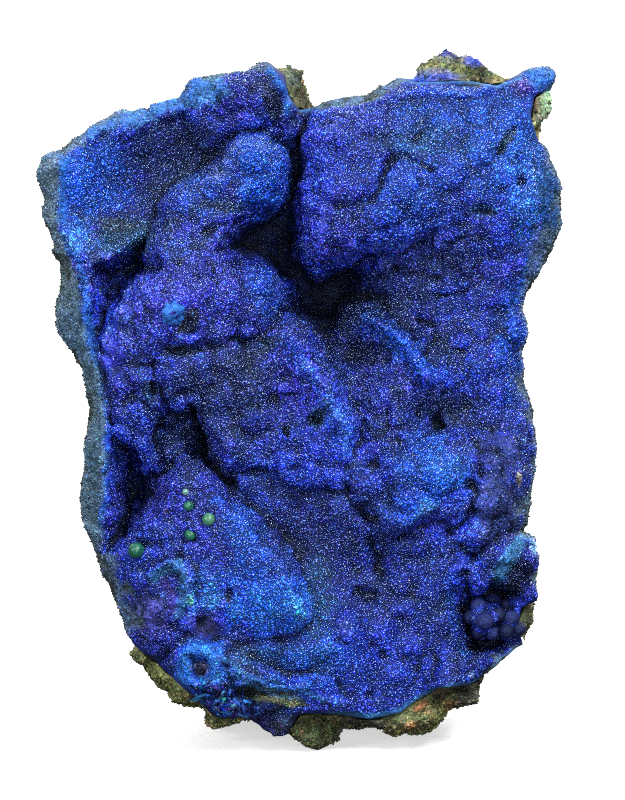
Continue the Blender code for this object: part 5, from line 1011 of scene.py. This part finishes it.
# Bands of colour: name, strength, how bare of crystals, half width in squares, and the line
CRUST_LINES = [
    # the two near-black bands are painted shade in the creases between the lobes
    ("shade_ink", 0.7, 0.5, 2.0, [(499, 497), (494, 510), (490, 528), (480, 548)]),
    ("shade_ink", 0.6, 0.4, 1.3, [(472, 495), (484, 487), (500, 487), (512, 494), (517, 506)]),
    ("teal", 0.7, 0.9, 6.0, [(498, 577), (507, 560), (518, 544)]),
    ("sky", 0.6, 0.9, 4.0, [(500, 572), (508, 558), (520, 542)]),
    ("azure", 0.7, 0.5, 4.0, [(64, 160), (64, 190), (63, 222)]),
    ("azure", 0.75, 0.5, 4.0, [(80, 262), (87, 288), (91, 335), (97, 372), (104, 405),
                               (106, 455), (105, 500), (98, 545)]),
    ("sky", 0.7, 0.8, 1.8, [(300, 112), (320, 107), (345, 102), (370, 98), (385, 89), (400, 81),
                            (418, 85), (440, 84), (470, 83), (496, 88), (520, 80)]),
    ("azure", 0.5, 0.2, 4.0, [(531, 100), (528, 118), (536, 142), (539, 165), (536, 200),
                              (533, 225), (526, 262), (519, 300)]),
    ("sky", 0.85, 0.6, 4.0, [(530, 642), (500, 661), (484, 678), (468, 684), (440, 688),
                            (415, 700), (400, 711), (370, 716), (330, 712)]),
    ("sky", 0.7, 0.8, 2.5, [(222, 654), (245, 672), (270, 686), (300, 687), (322, 698)]),
    ("sky", 0.7, 0.8, 2.0, [(225, 665), (250, 682), (275, 693), (300, 696)]),
    ("azure", 0.8, 0.7, 4.0, [(182, 662), (190, 682), (206, 700), (225, 712), (250, 712)]),
    ("azure", 0.8, 0.6, 4.0, [(270, 72), (281, 86), (290, 98), (287, 112)]),
    ("sky", 0.7, 0.8, 5.0, [(154, 576), (168, 566), (180, 563), (186, 578), (184, 598),
                            (178, 612)]),
    ("purple", 0.6, 0.9, 4.0, [(165, 578), (174, 592), (174, 610)]),
    ("royal", 0.5, 0.0, 5.0, [(453, 572), (450, 600), (452, 630), (465, 655)]),
]

# Places where a hollow's painted shade is weaker: share of it taken off, softness, oval
LIGHT_HOLLOWS = [
    (0.9, 0.3, 180, 140, 80, 46, 20), (0.85, 0.4, 460, 258, 74, 32), (0.85, 0.3, 278, 170, 16, 44),
    (0.9, 0.3, 191, 324, 16, 16), (0.85, 0.3, 202, 667, 20, 18), (0.8, 0.3, 205, 612, 18, 18),
    (0.7, 0.4, 255, 340, 50, 14, 22), (0.7, 0.5, 318, 610, 34, 70), (0.4, 0.5, 176, 440, 34, 40),
    (0.5, 0.4, 418, 290, 20, 26), (0.5, 0.4, 380, 352, 30, 20), (0.85, 0.3, 385, 244, 70, 22, 8),
    (0.5, 0.4, 130, 480, 14, 50), (0.6, 0.4, 118, 285, 16, 40), (0.6, 0.4, 118, 452, 16, 44),
    (0.5, 0.4, 290, 300, 16, 24), (0.5, 0.4, 424, 244, 24, 14), (0.4, 0.4, 394, 342, 20, 14, -30),
    (0.5, 0.4, 155, 258, 30, 14, 20),
]

# Places where the crust is smooth: strength, softness, oval
SMOOTH_PLACES = [
    (1.0, 0.2, 519, 480, 5, 12), (0.9, 0.3, 498, 500, 26, 34), (0.8, 0.3, 498, 455, 22, 22),
    (0.9, 0.3, 150, 610, 19, 22), (0.9, 0.3, 205, 626, 20, 12), (0.5, 0.3, 494, 618, 34, 26),
    (0.9, 0.3, 509, 556, 26, 8, 58), (0.8, 0.3, 260, 694, 36, 10, -14), (0.7, 0.3, 200, 662, 24, 24),
    (0.6, 0.4, 112, 360, 12, 20), (0.9, 0.2, 202, 668, 10, 10),
]

# Places where the small lumps are low: share taken off, oval
EVEN_PLACES = [
    (0.9, 100, 190, 60, 52), (0.9, 175, 150, 50, 32, 15), (0.8, 115, 240, 44, 20),
    (0.7, 258, 158, 28, 28), (0.95, 262, 590, 56, 56), (0.95, 254, 548, 24, 50, 32),
    (0.8, 340, 620, 110, 90), (0.6, 310, 540, 60, 50), (0.85, 500, 160, 50, 90),
    (0.8, 430, 135, 60, 40), (0.5, 420, 200, 70, 40), (0.85, 434, 470, 44, 38), (0.7, 505, 360, 36, 60),
    (0.6, 250, 290, 30, 30), (0.3, 498, 480, 34, 56), (0.9, 494, 618, 40, 30),
]

# Patches of colour on the host rock, as on the crust
ROCK_PATCHES = [
    ("blue", 0.95, 0.2, 432, 77, 24, 7), ("royal", 0.8, 0.3, 420, 79, 14, 5),
    ("olive", 0.8, 0.4, 165, 670, 40, 40), ("moss", 0.8, 0.4, 300, 735, 44, 24),
    ("stone", 0.8, 0.3, 365, 725, 26, 14), ("olive", 0.6, 0.4, 425, 718, 36, 22),
    ("orange", 0.6, 0.3, 420, 705, 9, 3, 20), ("orange", 0.5, 0.3, 410, 725, 6, 3, 20),
    ("orange", 0.5, 0.3, 450, 704, 9, 3, 15), ("stone", 0.9, 0.3, 470, 698, 18, 18),
    ("moss", 0.9, 0.3, 530, 620, 16, 20), ("green", 0.7, 0.4, 548, 106, 10, 22),
    ("brown", 0.6, 0.3, 536, 104, 4, 10), ("indigo", 0.9, 0.3, 448, 56, 12, 9),
    ("blue", 0.7, 0.3, 474, 60, 14, 8, 15), ("olive", 0.7, 0.4, 430, 68, 40, 10),
    ("soil", 0.6, 0.3, 300, 90, 16, 20), ("grey", 0.4, 0.4, 290, 76, 10, 10),
]

# Small round balls of azurite: colour, x, y, radius in squares, and the share of it that the
# middle stands out of the crust
AZURE_BALLS = [
    ("azure", 178, 310, 8, -0.3), ("azure", 171, 315, 7, -0.3), ("azure", 181, 318, 5, -0.2),
    ("azure", 174, 321, 5, -0.3), ("azure", 183, 309, 4, -0.1), ("azure", 170, 308, 4, -0.1),
    ("azure", 168, 321, 3.5, -0.2), ("azure", 178, 304, 4, -0.3), ("azure", 180, 323, 3, -0.2),
    ("grape", 478, 605, 8, -0.3), ("grape", 493, 601, 8, -0.2), ("navy", 470, 617, 7, -0.3),
    ("grape", 484, 620, 8.5, -0.1), ("navy", 498, 614, 7.5, -0.2), ("navy", 478, 632, 7, -0.3),
    ("grape", 492, 632, 7.5, -0.2), ("navy", 507, 604, 6.5, -0.3), ("grape", 511, 617, 7.5, -0.3),
    ("navy", 506, 630, 7.5, -0.3), ("navy", 519, 628, 6.5, -0.3),
]

# Colours of the five malachite balls
BALL_COLOURS = [(24, 88, 70), (40, 108, 84), (66, 122, 94), (34, 100, 76), (110, 150, 146)]


def linear(colour):
    """A colour's linear values from its name or from red, green and blue."""
    value = np.array(COLOURS[colour] if isinstance(colour, str) else colour, float) / 255
    return np.where(value <= 0.04045, value / 12.92, ((value + 0.055) / 1.055) ** 2.4)


def to_grid(points):
    """Places in the face frame of points in metres in the object's frame."""
    sine, cosine = math.sin(LEAN), math.cos(LEAN)
    x = points[:, 0] * 1000 - ORIGIN_SHIFT[0]
    y = points[:, 1] * 1000 - ORIGIN_SHIFT[1]
    z = points[:, 2] * 1000
    return x, y * sine + z * cosine, z * sine - y * cosine


def step(low, high, value):
    """A smooth step from nought to one."""
    t = np.clip((value - low) / (high - low), 0, 1)
    return t * t * (3 - 2 * t)


def patch_share(u, v, soft, x, y, across, down, turn=0, wave=0):
    """One inside a soft oval patch, nought outside it."""
    cu, cv = to_face(x, y)
    a = math.radians(turn)
    du, dv = (u - cu) / SQUARE, -(v - cv) / SQUARE
    along = (du * math.cos(a) - dv * math.sin(a)) / across
    over = (du * math.sin(a) + dv * math.cos(a)) / down
    return 1 - step(1 - soft, 1 + soft, np.hypot(along, over) + wave)


def lay(colour, name, share):
    """Lay a named colour over the colours of points, by a share at each."""
    colour += share[:, None] * (linear(name) - colour)


def mottled(name, mottles, u, v, w):
    """Colours of points: a named one with others mottled over it."""
    colour = np.tile(linear(name), (len(u), 1))
    for other, strength, start, full, length, seed in mottles:
        lay(colour, other, step(start, full, ripple(u, v, w, length, seed)) * strength)
    return colour


def painted(colour, patches, u, v, w):
    """Lay soft patches of colour over points."""
    wave = waved(u, v, w, PATCH_WAVES)
    for name, strength, soft, *patch in patches:
        lay(colour, name, strength * patch_share(u, v, soft, *patch, wave=wave))
    return colour


def shading(small, wide, level, small_loss, wide_loss, least, most):
    """Painted shade: what the colours of points are multiplied by for the small and wide hollows they
    lie in.
    """
    return np.clip(level - small_loss * small - wide_loss * wide, least, most)[:, None]


def blurred(sheet, width):
    """A sheet of values averaged three times over squares of cells."""
    for _ in range(3):
        for axis in (0, 1):
            first, last = sheet.take([0], axis), sheet.take([-1], axis)
            total = np.cumsum(np.concatenate([first.repeat(width + 1, axis), sheet,
                                              last.repeat(width, axis)], axis), axis)
            n = sheet.shape[axis]
            sheet = (total.take(range(2 * width + 1, 2 * width + 1 + n), axis)
                     - total.take(range(n), axis)) / (2 * width + 1)
    return sheet


def hollow_share(u, v):
    """How far a place lies down in a hollow, from nought to one: the share of painted shade it gets."""
    grid_u, grid_v = np.arange(*HOLLOW_U, HOLLOW_CELL), np.arange(*HOLLOW_V, HOLLOW_CELL)
    depth = face_depth(*np.meshgrid(grid_u, grid_v, indexing="ij"))
    low = blurred(depth, int(HOLLOW_WIDTH / HOLLOW_CELL)) - depth
    at_u = np.clip((u - grid_u[0]) / HOLLOW_CELL, 0, len(grid_u) - 1.001)
    at_v = np.clip((v - grid_v[0]) / HOLLOW_CELL, 0, len(grid_v) - 1.001)
    i, j = at_u.astype(int), at_v.astype(int)
    fu, fv = at_u - i, at_v - j
    low = ((low[i, j] * (1 - fu) + low[i + 1, j] * fu) * (1 - fv)
           + (low[i, j + 1] * (1 - fu) + low[i + 1, j + 1] * fu) * fv)
    return step(HOLLOW_START, HOLLOW_FULL, low)


def relief(mesh, points, normals, rounds):
    """How far each point lies below the smoothed surface, in mm."""
    pairs = np.empty(len(mesh.edges) * 2, np.int32)
    mesh.edges.foreach_get("vertices", pairs)
    a, b = pairs[::2], pairs[1::2]
    count = np.bincount(pairs, minlength=len(points))
    smooth = points.copy()
    for _ in range(rounds):
        near = np.stack([np.bincount(a, smooth[b, k], len(points))
                         + np.bincount(b, smooth[a, k], len(points)) for k in range(3)], axis=1)
        smooth = 0.5 * (smooth + near / count[:, None])
    return ((smooth - points) * normals).sum(axis=1) * 1000


def crust_paint(points, small, wide):
    """Colour of the crust at points, with painted light and shade, how bare of crystals it is there, and
    how hollow.
    """
    u, v, w = to_grid(points)
    colour = painted(mottled("blue", CRUST_MOTTLES, u, v, w), CRUST_PATCHES, u, v, w)
    colour *= shading(small, wide, *CRUST_SHADING)
    # Painted light and shade, place by place
    for gain, soft, *patch in CRUST_LIGHT_AND_SHADE:
        colour *= (1 + (gain - 1) * patch_share(u, v, soft, *patch))[:, None]
    # Painted shade: places deep in hollows are darkened towards a near-black, less at the places of
    # LIGHT_HOLLOWS
    hollow = hollow_share(u, v)
    for share, soft, *patch in LIGHT_HOLLOWS:
        hollow *= 1 - share * patch_share(u, v, soft, *patch)
    lay(colour, "shade_ink", HOLLOW_SHADE * hollow)
    bare = np.zeros(len(u))
    jitter = waved(u, v, w, BAND_WAVES)
    for name, strength, clear, half, line in CRUST_LINES:
        share = 1 - step(*BAND_EDGE, path_distance(line, u, v) / (half * SQUARE) + jitter)
        lay(colour, name, share * strength)
        bare = np.maximum(bare, share * clear)
    for strength, soft, *patch in SMOOTH_PLACES:
        bare = np.maximum(bare, strength * patch_share(u, v, soft, *patch, wave=jitter))
    wave = waved(u, v, w, FACE_WAVES)
    for name, strength, corners in BROKEN_FACES:
        share = step(FACE_EDGE, -FACE_EDGE, outline_distance(corners, u, v) + wave)
        lay(colour, name, share * strength)
        bare = np.maximum(bare, share)
    behind = face_depth(u, v) - w
    rim = step(*RIM_DEPTHS, behind + wave) * (1 - hollow)
    lay(colour, "slate", rim * RIM_SLATE)
    side = step(*SIDE_DEPTHS, behind + wave * SIDE_WAVE) * (1 - hollow)
    lay(colour, "moss", side * SIDE_MOSS)
    colour *= shading(small, wide, *BARE_SHADING) ** (bare + rim).clip(0, 1)[:, None]
    return np.clip(colour, 0, 1), np.maximum(bare, rim), hollow


def rock_paint(points, small, wide):
    """Colour of the host rock at points, with painted shade in its hollows."""
    u, v, w = to_grid(points)
    colour = mottled("olive", ROCK_MOTTLES, u, v, w)
    front = step(*FRONT_FADE, w + waved(u, v, w, FRONT_WAVES))
    front_paint = painted(colour.copy(), ROCK_PATCHES, u, v, w)
    colour += front[:, None] * (front_paint - colour)
    return np.clip(colour * shading(small, wide, *ROCK_SHADING), 0, 1)


def quick_mesh(name, points, faces):
    """A mesh from arrays of points in metres and faces that all have the same number of sides."""
    mesh = bpy.data.meshes.new(name)
    mesh.vertices.add(len(points))
    mesh.vertices.foreach_set("co", points.astype(np.float32).ravel())
    mesh.loops.add(faces.size)
    mesh.loops.foreach_set("vertex_index", faces.astype(np.int32).ravel())
    mesh.polygons.add(len(faces))
    mesh.polygons.foreach_set("loop_start", np.arange(0, faces.size, faces.shape[1], dtype=np.int32))
    mesh.update(calc_edges=True)
    return mesh


def vertex_arrays(mesh):
    """A mesh's points and point normals."""
    points = np.empty(len(mesh.vertices) * 3, np.float32)
    normals = np.empty(len(mesh.vertices) * 3, np.float32)
    mesh.vertices.foreach_get("co", points)
    mesh.vertices.foreach_get("normal", normals)
    return points.reshape(-1, 3).astype(float), normals.reshape(-1, 3).astype(float)


def corner_numbers(mesh):
    """The three point numbers of each triangle of a mesh."""
    mesh.calc_loop_triangles()
    numbers = np.empty(len(mesh.loop_triangles) * 3, np.int32)
    mesh.loop_triangles.foreach_get("vertices", numbers)
    return numbers.reshape(-1, 3)


def give_colour(mesh, colour):
    """Store a colour at each point."""
    layer = mesh.color_attributes.new("tint", "FLOAT_COLOR", "POINT")
    values = np.column_stack([colour, np.ones(len(colour))])
    layer.data.foreach_set("color", values.astype(np.float32).ravel())


def give_value(mesh, name, value):
    """Store a number at each point."""
    layer = mesh.attributes.new(name, "FLOAT", "POINT")
    layer.data.foreach_set("value", value.astype(np.float32))


def new_object(name, data):
    """A new object in the scene."""
    obj = bpy.data.objects.new(name, data)
    bpy.context.scene.collection.objects.link(obj)
    return obj


def add_piece(name, mesh, look, slot, *nodes):
    """Put a piece in the scene on the specimen's body, in place of the solids it stands for."""
    obj = new_object(name, mesh)
    mesh.materials.append(look)
    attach(obj, "root")
    if nodes:
        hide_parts(*nodes)


def speckled_look(name):
    """A material of LOOKS: it takes its colour from the painted points and speckles it with noise."""
    scale, detail, speck, level, value_name, roughness, bump, gloss = LOOKS[name]
    look = bpy.data.materials.new(name)
    look.use_nodes = True
    tree = look.node_tree
    shader = tree.nodes["Principled BSDF"]
    link = tree.links.new

    def node(kind, numbers):
        made = tree.nodes.new("ShaderNode" + kind)
        for key, number in numbers.items():
            made.inputs[key].default_value = number
        return made

    def stored(attribute):
        made = node("Attribute", {})
        made.attribute_name = attribute
        return made.outputs

    def ranged(source, low, high, start=0.0, end=1.0):
        made = node("MapRange", {"From Min": start, "From Max": end, "To Min": low, "To Max": high})
        link(source, made.inputs["Value"])
        return made.outputs["Result"]

    tint, value = stored("tint"), stored(value_name)
    place = node("TexCoord", {})
    noise = node("TexNoise", {"Scale": scale, "Detail": detail, "Roughness": NOISE_ROUGHNESS})
    link(place.outputs["Object"], noise.inputs["Vector"])
    both = node("Math", {})
    both.operation = "MULTIPLY"
    link(ranged(noise.outputs["Fac"], *speck, *NOISE_RANGE), both.inputs[0])
    link(ranged(value["Fac"], *level), both.inputs[1])
    mixed = node("VectorMath", {})
    mixed.operation = "SCALE"
    link(tint["Color"], mixed.inputs[0])
    link(both.outputs["Value"], mixed.inputs["Scale"])
    link(mixed.outputs["Vector"], shader.inputs["Base Color"])
    if isinstance(roughness, tuple):
        link(ranged(value["Fac"], *roughness), shader.inputs["Roughness"])
    else:
        shader.inputs["Roughness"].default_value = roughness
    if bump:
        raised = node("Bump", {"Distance": bump * 0.001})
        link(noise.outputs["Fac"], raised.inputs["Height"])
        link(raised.outputs["Normal"], shader.inputs["Normal"])
    shader.inputs["IOR"].default_value = gloss[0]
    shader.inputs["Specular IOR Level"].default_value = gloss[1]
    shader.inputs["Specular Tint"].default_value = (*gloss[2], 1)
    return look


def chip_mesh(name, base, axis, reach, height, colour, source):
    """Joined three-sided chips with flat faces, each standing on a point along its own axis."""
    count = len(base)
    side = np.cross(axis, source.normal(size=(count, 3)))
    side /= np.linalg.norm(side, axis=1)[:, None]
    other = np.cross(axis, side)
    low = base - axis * (CHIP_SINK * height)[:, None]
    corners = []
    for turn in (0.0, 120.0, 240.0):
        angle = np.radians(turn) + source.uniform(-CHIP_TURN, CHIP_TURN, count)
        away = reach * source.uniform(*CHIP_REACH, count)
        corners.append(low + side * (away * np.cos(angle))[:, None]
                       + other * (away * np.sin(angle))[:, None])
    slide = source.uniform(-CHIP_SLIDE, CHIP_SLIDE, (2, count)) * reach
    corners.append(base + axis * height[:, None] + side * slide[0][:, None] + other * slide[1][:, None])
    faces = np.array([(0, 1, 3), (1, 2, 3), (2, 0, 3), (0, 2, 1)])
    triangles = (np.arange(count)[:, None, None] * 4 + faces[None]).reshape(-1, 3)
    mesh = quick_mesh(name, np.stack(corners, axis=1).reshape(-1, 3), triangles)
    give_colour(mesh, np.repeat(colour, 4, axis=0))
    give_value(mesh, "grain", np.repeat(source.random(count), 4))
    return mesh


def seam_distance(u, v, w):
    """Distance from the seam behind the crust at single points, less than zero in the crust."""
    edge = outline_distance(CRUST_EDGE, u, v)
    return soft_max(edge, smooth_sheet(SEAM, u, v, SEAM_SOFT) - w, BLOCK_ROUND)


def thin_hidden(mesh, hidden):
    """Thin out a mesh where its points are hidden, and leave the rest as it is."""
    obj = new_object("thinning", mesh)
    group = obj.vertex_groups.new(name="hidden")
    group.add(np.nonzero(hidden)[0].tolist(), 1.0, "REPLACE")
    covered = hidden[corner_numbers(mesh)].all(axis=1).mean()
    thin = obj.modifiers.new("thin", "DECIMATE")
    thin.ratio = 1 - covered * (1 - SEAM_KEEPS)
    thin.vertex_group = "hidden"
    thin.vertex_group_factor = THIN_FACTOR
    thinned_mesh = evaluated(obj)
    bpy.data.objects.remove(obj)
    return thinned_mesh


def field_mesh(name, field, axes, shake=0.0):
    """The mesh of a field's surface, cut flat at the foot, and its points' seam distances."""
    points, faces = largest_shell(*surface_mesh(field, *axes))
    points += np.random.default_rng(SHAKE_SEED).uniform(-shake, shake, points.shape)
    mesh = cut_foot(quick_mesh(name, to_world(points), faces))
    return mesh, seam_distance(*to_grid(vertex_arrays(mesh)[0]))


def build_crust():
    """The crust's fine mesh, with its small lumps and the sockets of the balls."""
    axes = grid_axes(CRUST_CELL)
    body = body_field(*axes)
    near, spots = skin_spots(axes, body)
    rough = np.ones(len(spots[0]))
    for share, *patch in EVEN_PLACES:
        rough *= 1 - share * patch_share(*spots[:2], EVEN_SOFT, *patch)
    for size, height, seed in CRUST_LUMPS:
        body[near] -= rough * height * (nubs(*spots, size, seed) - LUMPS_IN)
    field = np.maximum(body, crust_field(*axes))
    for x, y, radius in MALACHITE_BALLS:
        (u, v, w), r = ball_place(x, y, radius, BALL_STANDS_OUT)
        gap = np.sqrt((axes[0][:, None, None] - u) ** 2 + (axes[1][None, :, None] - v) ** 2
                      + (axes[2][None, None, :] - w) ** 2) - r
        field = np.maximum(field, -gap).astype(np.float32)
    mesh, past_seam = field_mesh("azurite_crust", field, axes)
    return thin_hidden(mesh, past_seam > -SEAM_DEPTH)


def build_rock():
    """The host rock's mesh, scooped out like a broken stone."""
    axes = grid_axes(ROCK_CELL)
    body = body_field(*axes)
    near, spots = skin_spots(axes, body)
    for size, depth, seed in ROCK_SCOOPS:
        body[near] += depth * (nubs(*spots, size, seed) - SCOOPS_OUT)
    field = np.maximum(body, -crust_field(*axes))
    mesh, past_seam = field_mesh("host_rock", field, axes, ROCK_SHAKE)
    return thin_hidden(mesh, past_seam < SEAM_DEPTH)


def ball_place(x, y, radius, out):
    """Middle and radius of a ball whose middle stands out by a share of its radius."""
    u, v = (np.array([[float(a)]]) for a in to_face(x, y))
    r = radius * SQUARE
    return np.array([u[0, 0], v[0, 0], face_depth(u, v)[0, 0] + out * r]), r


def scattered(mesh, points, normals, colour, weight, count, source):
    """Even random spots on a mesh: a function that blends values to them, and their data."""
    corners = corner_numbers(mesh)
    a, b, c = (points[corners[:, k]] for k in range(3))
    area = np.linalg.norm(np.cross(b - a, c - a), axis=1)
    low = np.minimum(np.minimum(a[:, 2], b[:, 2]), c[:, 2])
    total = np.cumsum(area * weight[corners].mean(axis=1) * (low > FOOT_CLEAR))
    pick = np.searchsorted(total, (np.arange(count) + source.random(count)) / count * total[-1])
    share = -np.log(source.random((count, 3)))
    share /= share.sum(axis=1)[:, None]
    corners = corners[pick.clip(0, len(corners) - 1)]

    def blend(values):
        return (values[corners] * share[:, :, None]).sum(axis=1)

    up = blend(normals)
    up /= np.linalg.norm(up, axis=1)[:, None]
    return blend, (blend(points), up, blend(colour))


def add_grains(name, data, chosen, look, slot, source):
    """Add the chosen grains as joined meshes of at most PIECE_GRAINS each."""
    base, up, tint = (a[chosen] for a in data)
    count = len(base)
    reach, flat, tall, lean, jitter = GRAINS[name]
    axis = up + source.normal(size=(count, 3)) * lean
    axis /= np.linalg.norm(axis, axis=1)[:, None]
    size = np.exp(source.normal(size=count) * SIZE_SPREAD).clip(*SIZE_LIMITS)
    size *= reach * 0.001
    height = size * source.uniform(flat, tall, count)
    tint = tint * np.exp(source.normal(size=(count, 3)) * jitter)
    dark = source.random(count) < DARK_SHARE
    tint[dark] = tint[dark] * DARK_MIX + linear("deepgreen") * DARK_MIX
    order = np.argsort(base[:, 2], kind="stable")
    for number, part in enumerate(np.array_split(order, math.ceil(count / PIECE_GRAINS)), 1):
        mesh = chip_mesh(f"{name}_{number}", base[part], axis[part], size[part], height[part],
                         tint[part], source)
        add_piece(f"{name}_{number}", mesh, look, slot)


def dress_crust():
    """The crust with its crystals."""
    mesh = build_crust()
    mesh.shade_smooth()
    points, normals = vertex_arrays(mesh)
    colour, bare, hollow = crust_paint(
        points, *(relief(mesh, points, normals, rounds) for rounds in CRUST_ROUNDS))
    give_colour(mesh, colour)
    give_value(mesh, "bare", bare)
    add_piece("azurite_crust", mesh, speckled_look("azurite_crust"), "azurite", "azurite")

    source = np.random.default_rng(CRUST_SEED)
    facing = np.clip(-normals[:, 1] * math.cos(LEAN) + normals[:, 2] * math.sin(LEAN), 0, 1)
    weight = ((seam_distance(*to_grid(points)) < -SEAM_DEPTH)
              * (CRUST_FACING[0] + CRUST_FACING[1] * facing))
    blend, data = scattered(mesh, points, normals, colour, weight, CRUST_GRAINS, source)
    # Crystals deep in hollows take a shaded, duller copy of the druse's material, and fewer of them
    # glint, as painted shade
    chance = source.random(CRUST_GRAINS)
    in_hollow = blend(hollow[:, None])[:, 0]
    deep = chance < in_hollow * DEEP_GAIN - DEEP_LOSS
    broken = ~deep & (source.random(CRUST_GRAINS) < blend(bare[:, None])[:, 0])
    spots = to_grid(data[0])
    bunch = step(*GLINT_STEP, ripple(*spots, *GLINT_RIPPLE)) * GLINT_BUNCH
    bunch *= 1 - GLINT_HOLLOW * in_hollow.clip(0, 1)
    glint = ~deep & ~broken & (source.random(CRUST_GRAINS) < GLINT_SHARE * bunch)
    for name, chosen in (("azurite_druse", ~deep & ~broken & ~glint), ("azurite_glint", glint),
                         ("azurite_shaded_deep", deep), ("azurite_broken", broken)):
        add_grains(name, data, chosen, speckled_look(name), "azurite", source)
    blades = ~deep & (patch_share(*spots[:2], EVEN_SOFT, *BLADE_PLACE)
                      > source.random(CRUST_GRAINS) * BLADE_THIN)
    blade_tints = np.array([linear(name) for name in BLADE_COLOURS])
    blade_data = (*data[:2], blade_tints[source.integers(0, len(blade_tints), CRUST_GRAINS)])
    add_grains("azurite_blades", blade_data, blades, bpy.data.materials["azurite_broken"],
               "azurite", source)


def dress_rock():
    """The host rock with its chips."""
    mesh = build_rock()
    mesh.polygons.foreach_set("use_smooth", np.zeros(len(mesh.polygons), bool))
    points, normals = vertex_arrays(mesh)
    colour = rock_paint(
        points, *(relief(mesh, points, normals, rounds) for rounds in ROCK_ROUNDS))
    give_colour(mesh, colour)
    give_value(mesh, "grain", np.full(len(points), MIDDLE_GRAIN))
    add_piece("host_rock", mesh, speckled_look("host_rock"), "matrix", "matrix")

    source = np.random.default_rng(ROCK_SEED)
    facing = np.clip(-normals[:, 1], 0, 1)
    weight = ((seam_distance(*to_grid(points)) > SEAM_DEPTH)
              * (ROCK_FACING[0] + ROCK_FACING[1] * facing))
    _, data = scattered(mesh, points, normals, colour, weight, ROCK_GRAINS, source)
    add_grains("rock_chips", data, np.ones(ROCK_GRAINS, bool), speckled_look("rock_chips"),
               "matrix", source)


def unit_ball():
    """Points and faces of a ball of radius one."""
    work = bmesh.new()
    bmesh.ops.create_icosphere(work, subdivisions=BALL_ROUNDS, radius=1.0)
    points = np.array([v.co for v in work.verts])
    faces = np.array([[v.index for v in f.verts] for f in work.faces])
    work.free()
    return points, faces


def add_balls(name, points, faces, colour, grain, look, slot, *nodes):
    """Add a piece made of smooth balls."""
    mesh = quick_mesh(name, points, faces)
    mesh.shade_smooth()
    give_colour(mesh, colour)
    give_value(mesh, "grain", grain)
    add_piece(name, mesh, look, slot, *nodes)


def dress_balls():
    """The malachite balls, slightly lumpy."""
    look = speckled_look("malachite_ball")
    place, faces = unit_ball()
    size, seed = MALACHITE_LUMPS
    for number, ((x, y, radius), tint) in enumerate(zip(MALACHITE_BALLS, BALL_COLOURS), 1):
        middle, r = ball_place(x, y, radius, BALL_STANDS_OUT)
        lumps = nubs(*place.T, size, seed + number)
        points = place * (MALACHITE_BULGE[0] + MALACHITE_BULGE[1] * lumps)[:, None] * r * 0.001
        colour = linear(tint) * (MALACHITE_SHADE[0] + MALACHITE_SHADE[1] * lumps)[:, None]
        add_balls(f"malachite_{number}", points + to_world(middle[None]), faces, colour, lumps,
                  look, "malachite", f"malachite_ball_{number}")


def dress_azure_balls():
    """The small round balls of azurite, joined."""
    place, faces = unit_ball()
    points, corners, colours = [], [], []
    for number, (colour, x, y, radius, out) in enumerate(AZURE_BALLS):
        middle, r = ball_place(x, y, radius, out)
        lumps = nubs(*place.T, AZURE_LUMPS[0], AZURE_LUMPS[1] + number)
        fine = nubs(*place.T, AZURE_FINE[0], AZURE_FINE[1] + number)
        corners.append(faces + number * len(place))
        points.append(place * (AZURE_BULGE[0] + AZURE_BULGE[1] * lumps)[:, None] * r * 0.001
                      + to_world(middle[None]))
        colours.append(linear(colour) * (AZURE_SHADE[0] + AZURE_SHADE[1] * lumps
                                         + AZURE_FINE_SHADE * fine)[:, None])
    points = np.concatenate(points)
    add_balls("azurite_balls", points, np.concatenate(corners), np.concatenate(colours),
              np.full(len(points), MIDDLE_GRAIN), speckled_look("azurite_ball"), "azurite")


def area_light(name, place, size, power):
    """A round soft light that points at the middle of the specimen."""
    data = bpy.data.lights.new(name, "AREA")
    data.shape = "DISK"
    data.size = size
    data.energy = power
    obj = new_object(name, data)
    obj.location = place
    way = Vector(AIM) - Vector(place)
    obj.rotation_euler = way.to_track_quat("-Z", "Y").to_euler()


def set_stage():
    """The floor, the lights, the white surroundings and the camera."""
    scene = bpy.context.scene
    scene.view_settings.view_transform = "Standard"
    scene.cycles.use_denoising = False
    scene.cycles.filter_width = 1.0
    world = bpy.data.worlds.new("studio")
    scene.world = world
    world.use_nodes = True
    tree = world.node_tree
    background = tree.nodes["Background"]
    background.inputs["Color"].default_value = (1, 1, 1, 1)
    path = tree.nodes.new("ShaderNodeLightPath")
    level = tree.nodes.new("ShaderNodeMapRange")
    level.inputs["To Min"].default_value = AMBIENT
    tree.links.new(path.outputs["Is Camera Ray"], level.inputs["Value"])
    tree.links.new(level.outputs["Result"], background.inputs["Strength"])
    for light in LIGHTS:
        area_light(*light)

    corners = np.array([(-1, -1, 0), (1, -1, 0), (1, 1, 0), (-1, 1, 0)], float) * FLOOR_REACH
    floor = new_object("floor", quick_mesh("floor", corners, np.array([(0, 1, 2, 3)])))
    look = bpy.data.materials.new("floor")
    look.use_nodes = True
    shader = look.node_tree.nodes["Principled BSDF"]
    for key, value in FLOOR_LOOK.items():
        shader.inputs[key].default_value = value
    floor.data.materials.append(look)
    floor.visible_diffuse = False
    floor.visible_glossy = False

    camera = bpy.data.cameras.new("camera")
    camera.lens = LENS
    camera.sensor_width = SENSOR
    camera.clip_start, camera.clip_end = CLIP
    seat = new_object("camera", camera)
    scene.camera = seat
    look_way = Vector((0, math.cos(LEAN), -math.sin(LEAN)))
    middle = Vector(to_world(np.array([CAMERA_PLACE]))[0])
    seat.location = middle - look_way * PICTURE_WIDTH * LENS / SENSOR
    seat.rotation_euler = look_way.to_track_quat("-Z", "Y").to_euler()


set_stage()
dress_crust()
dress_rock()
dress_balls()
dress_azure_balls()
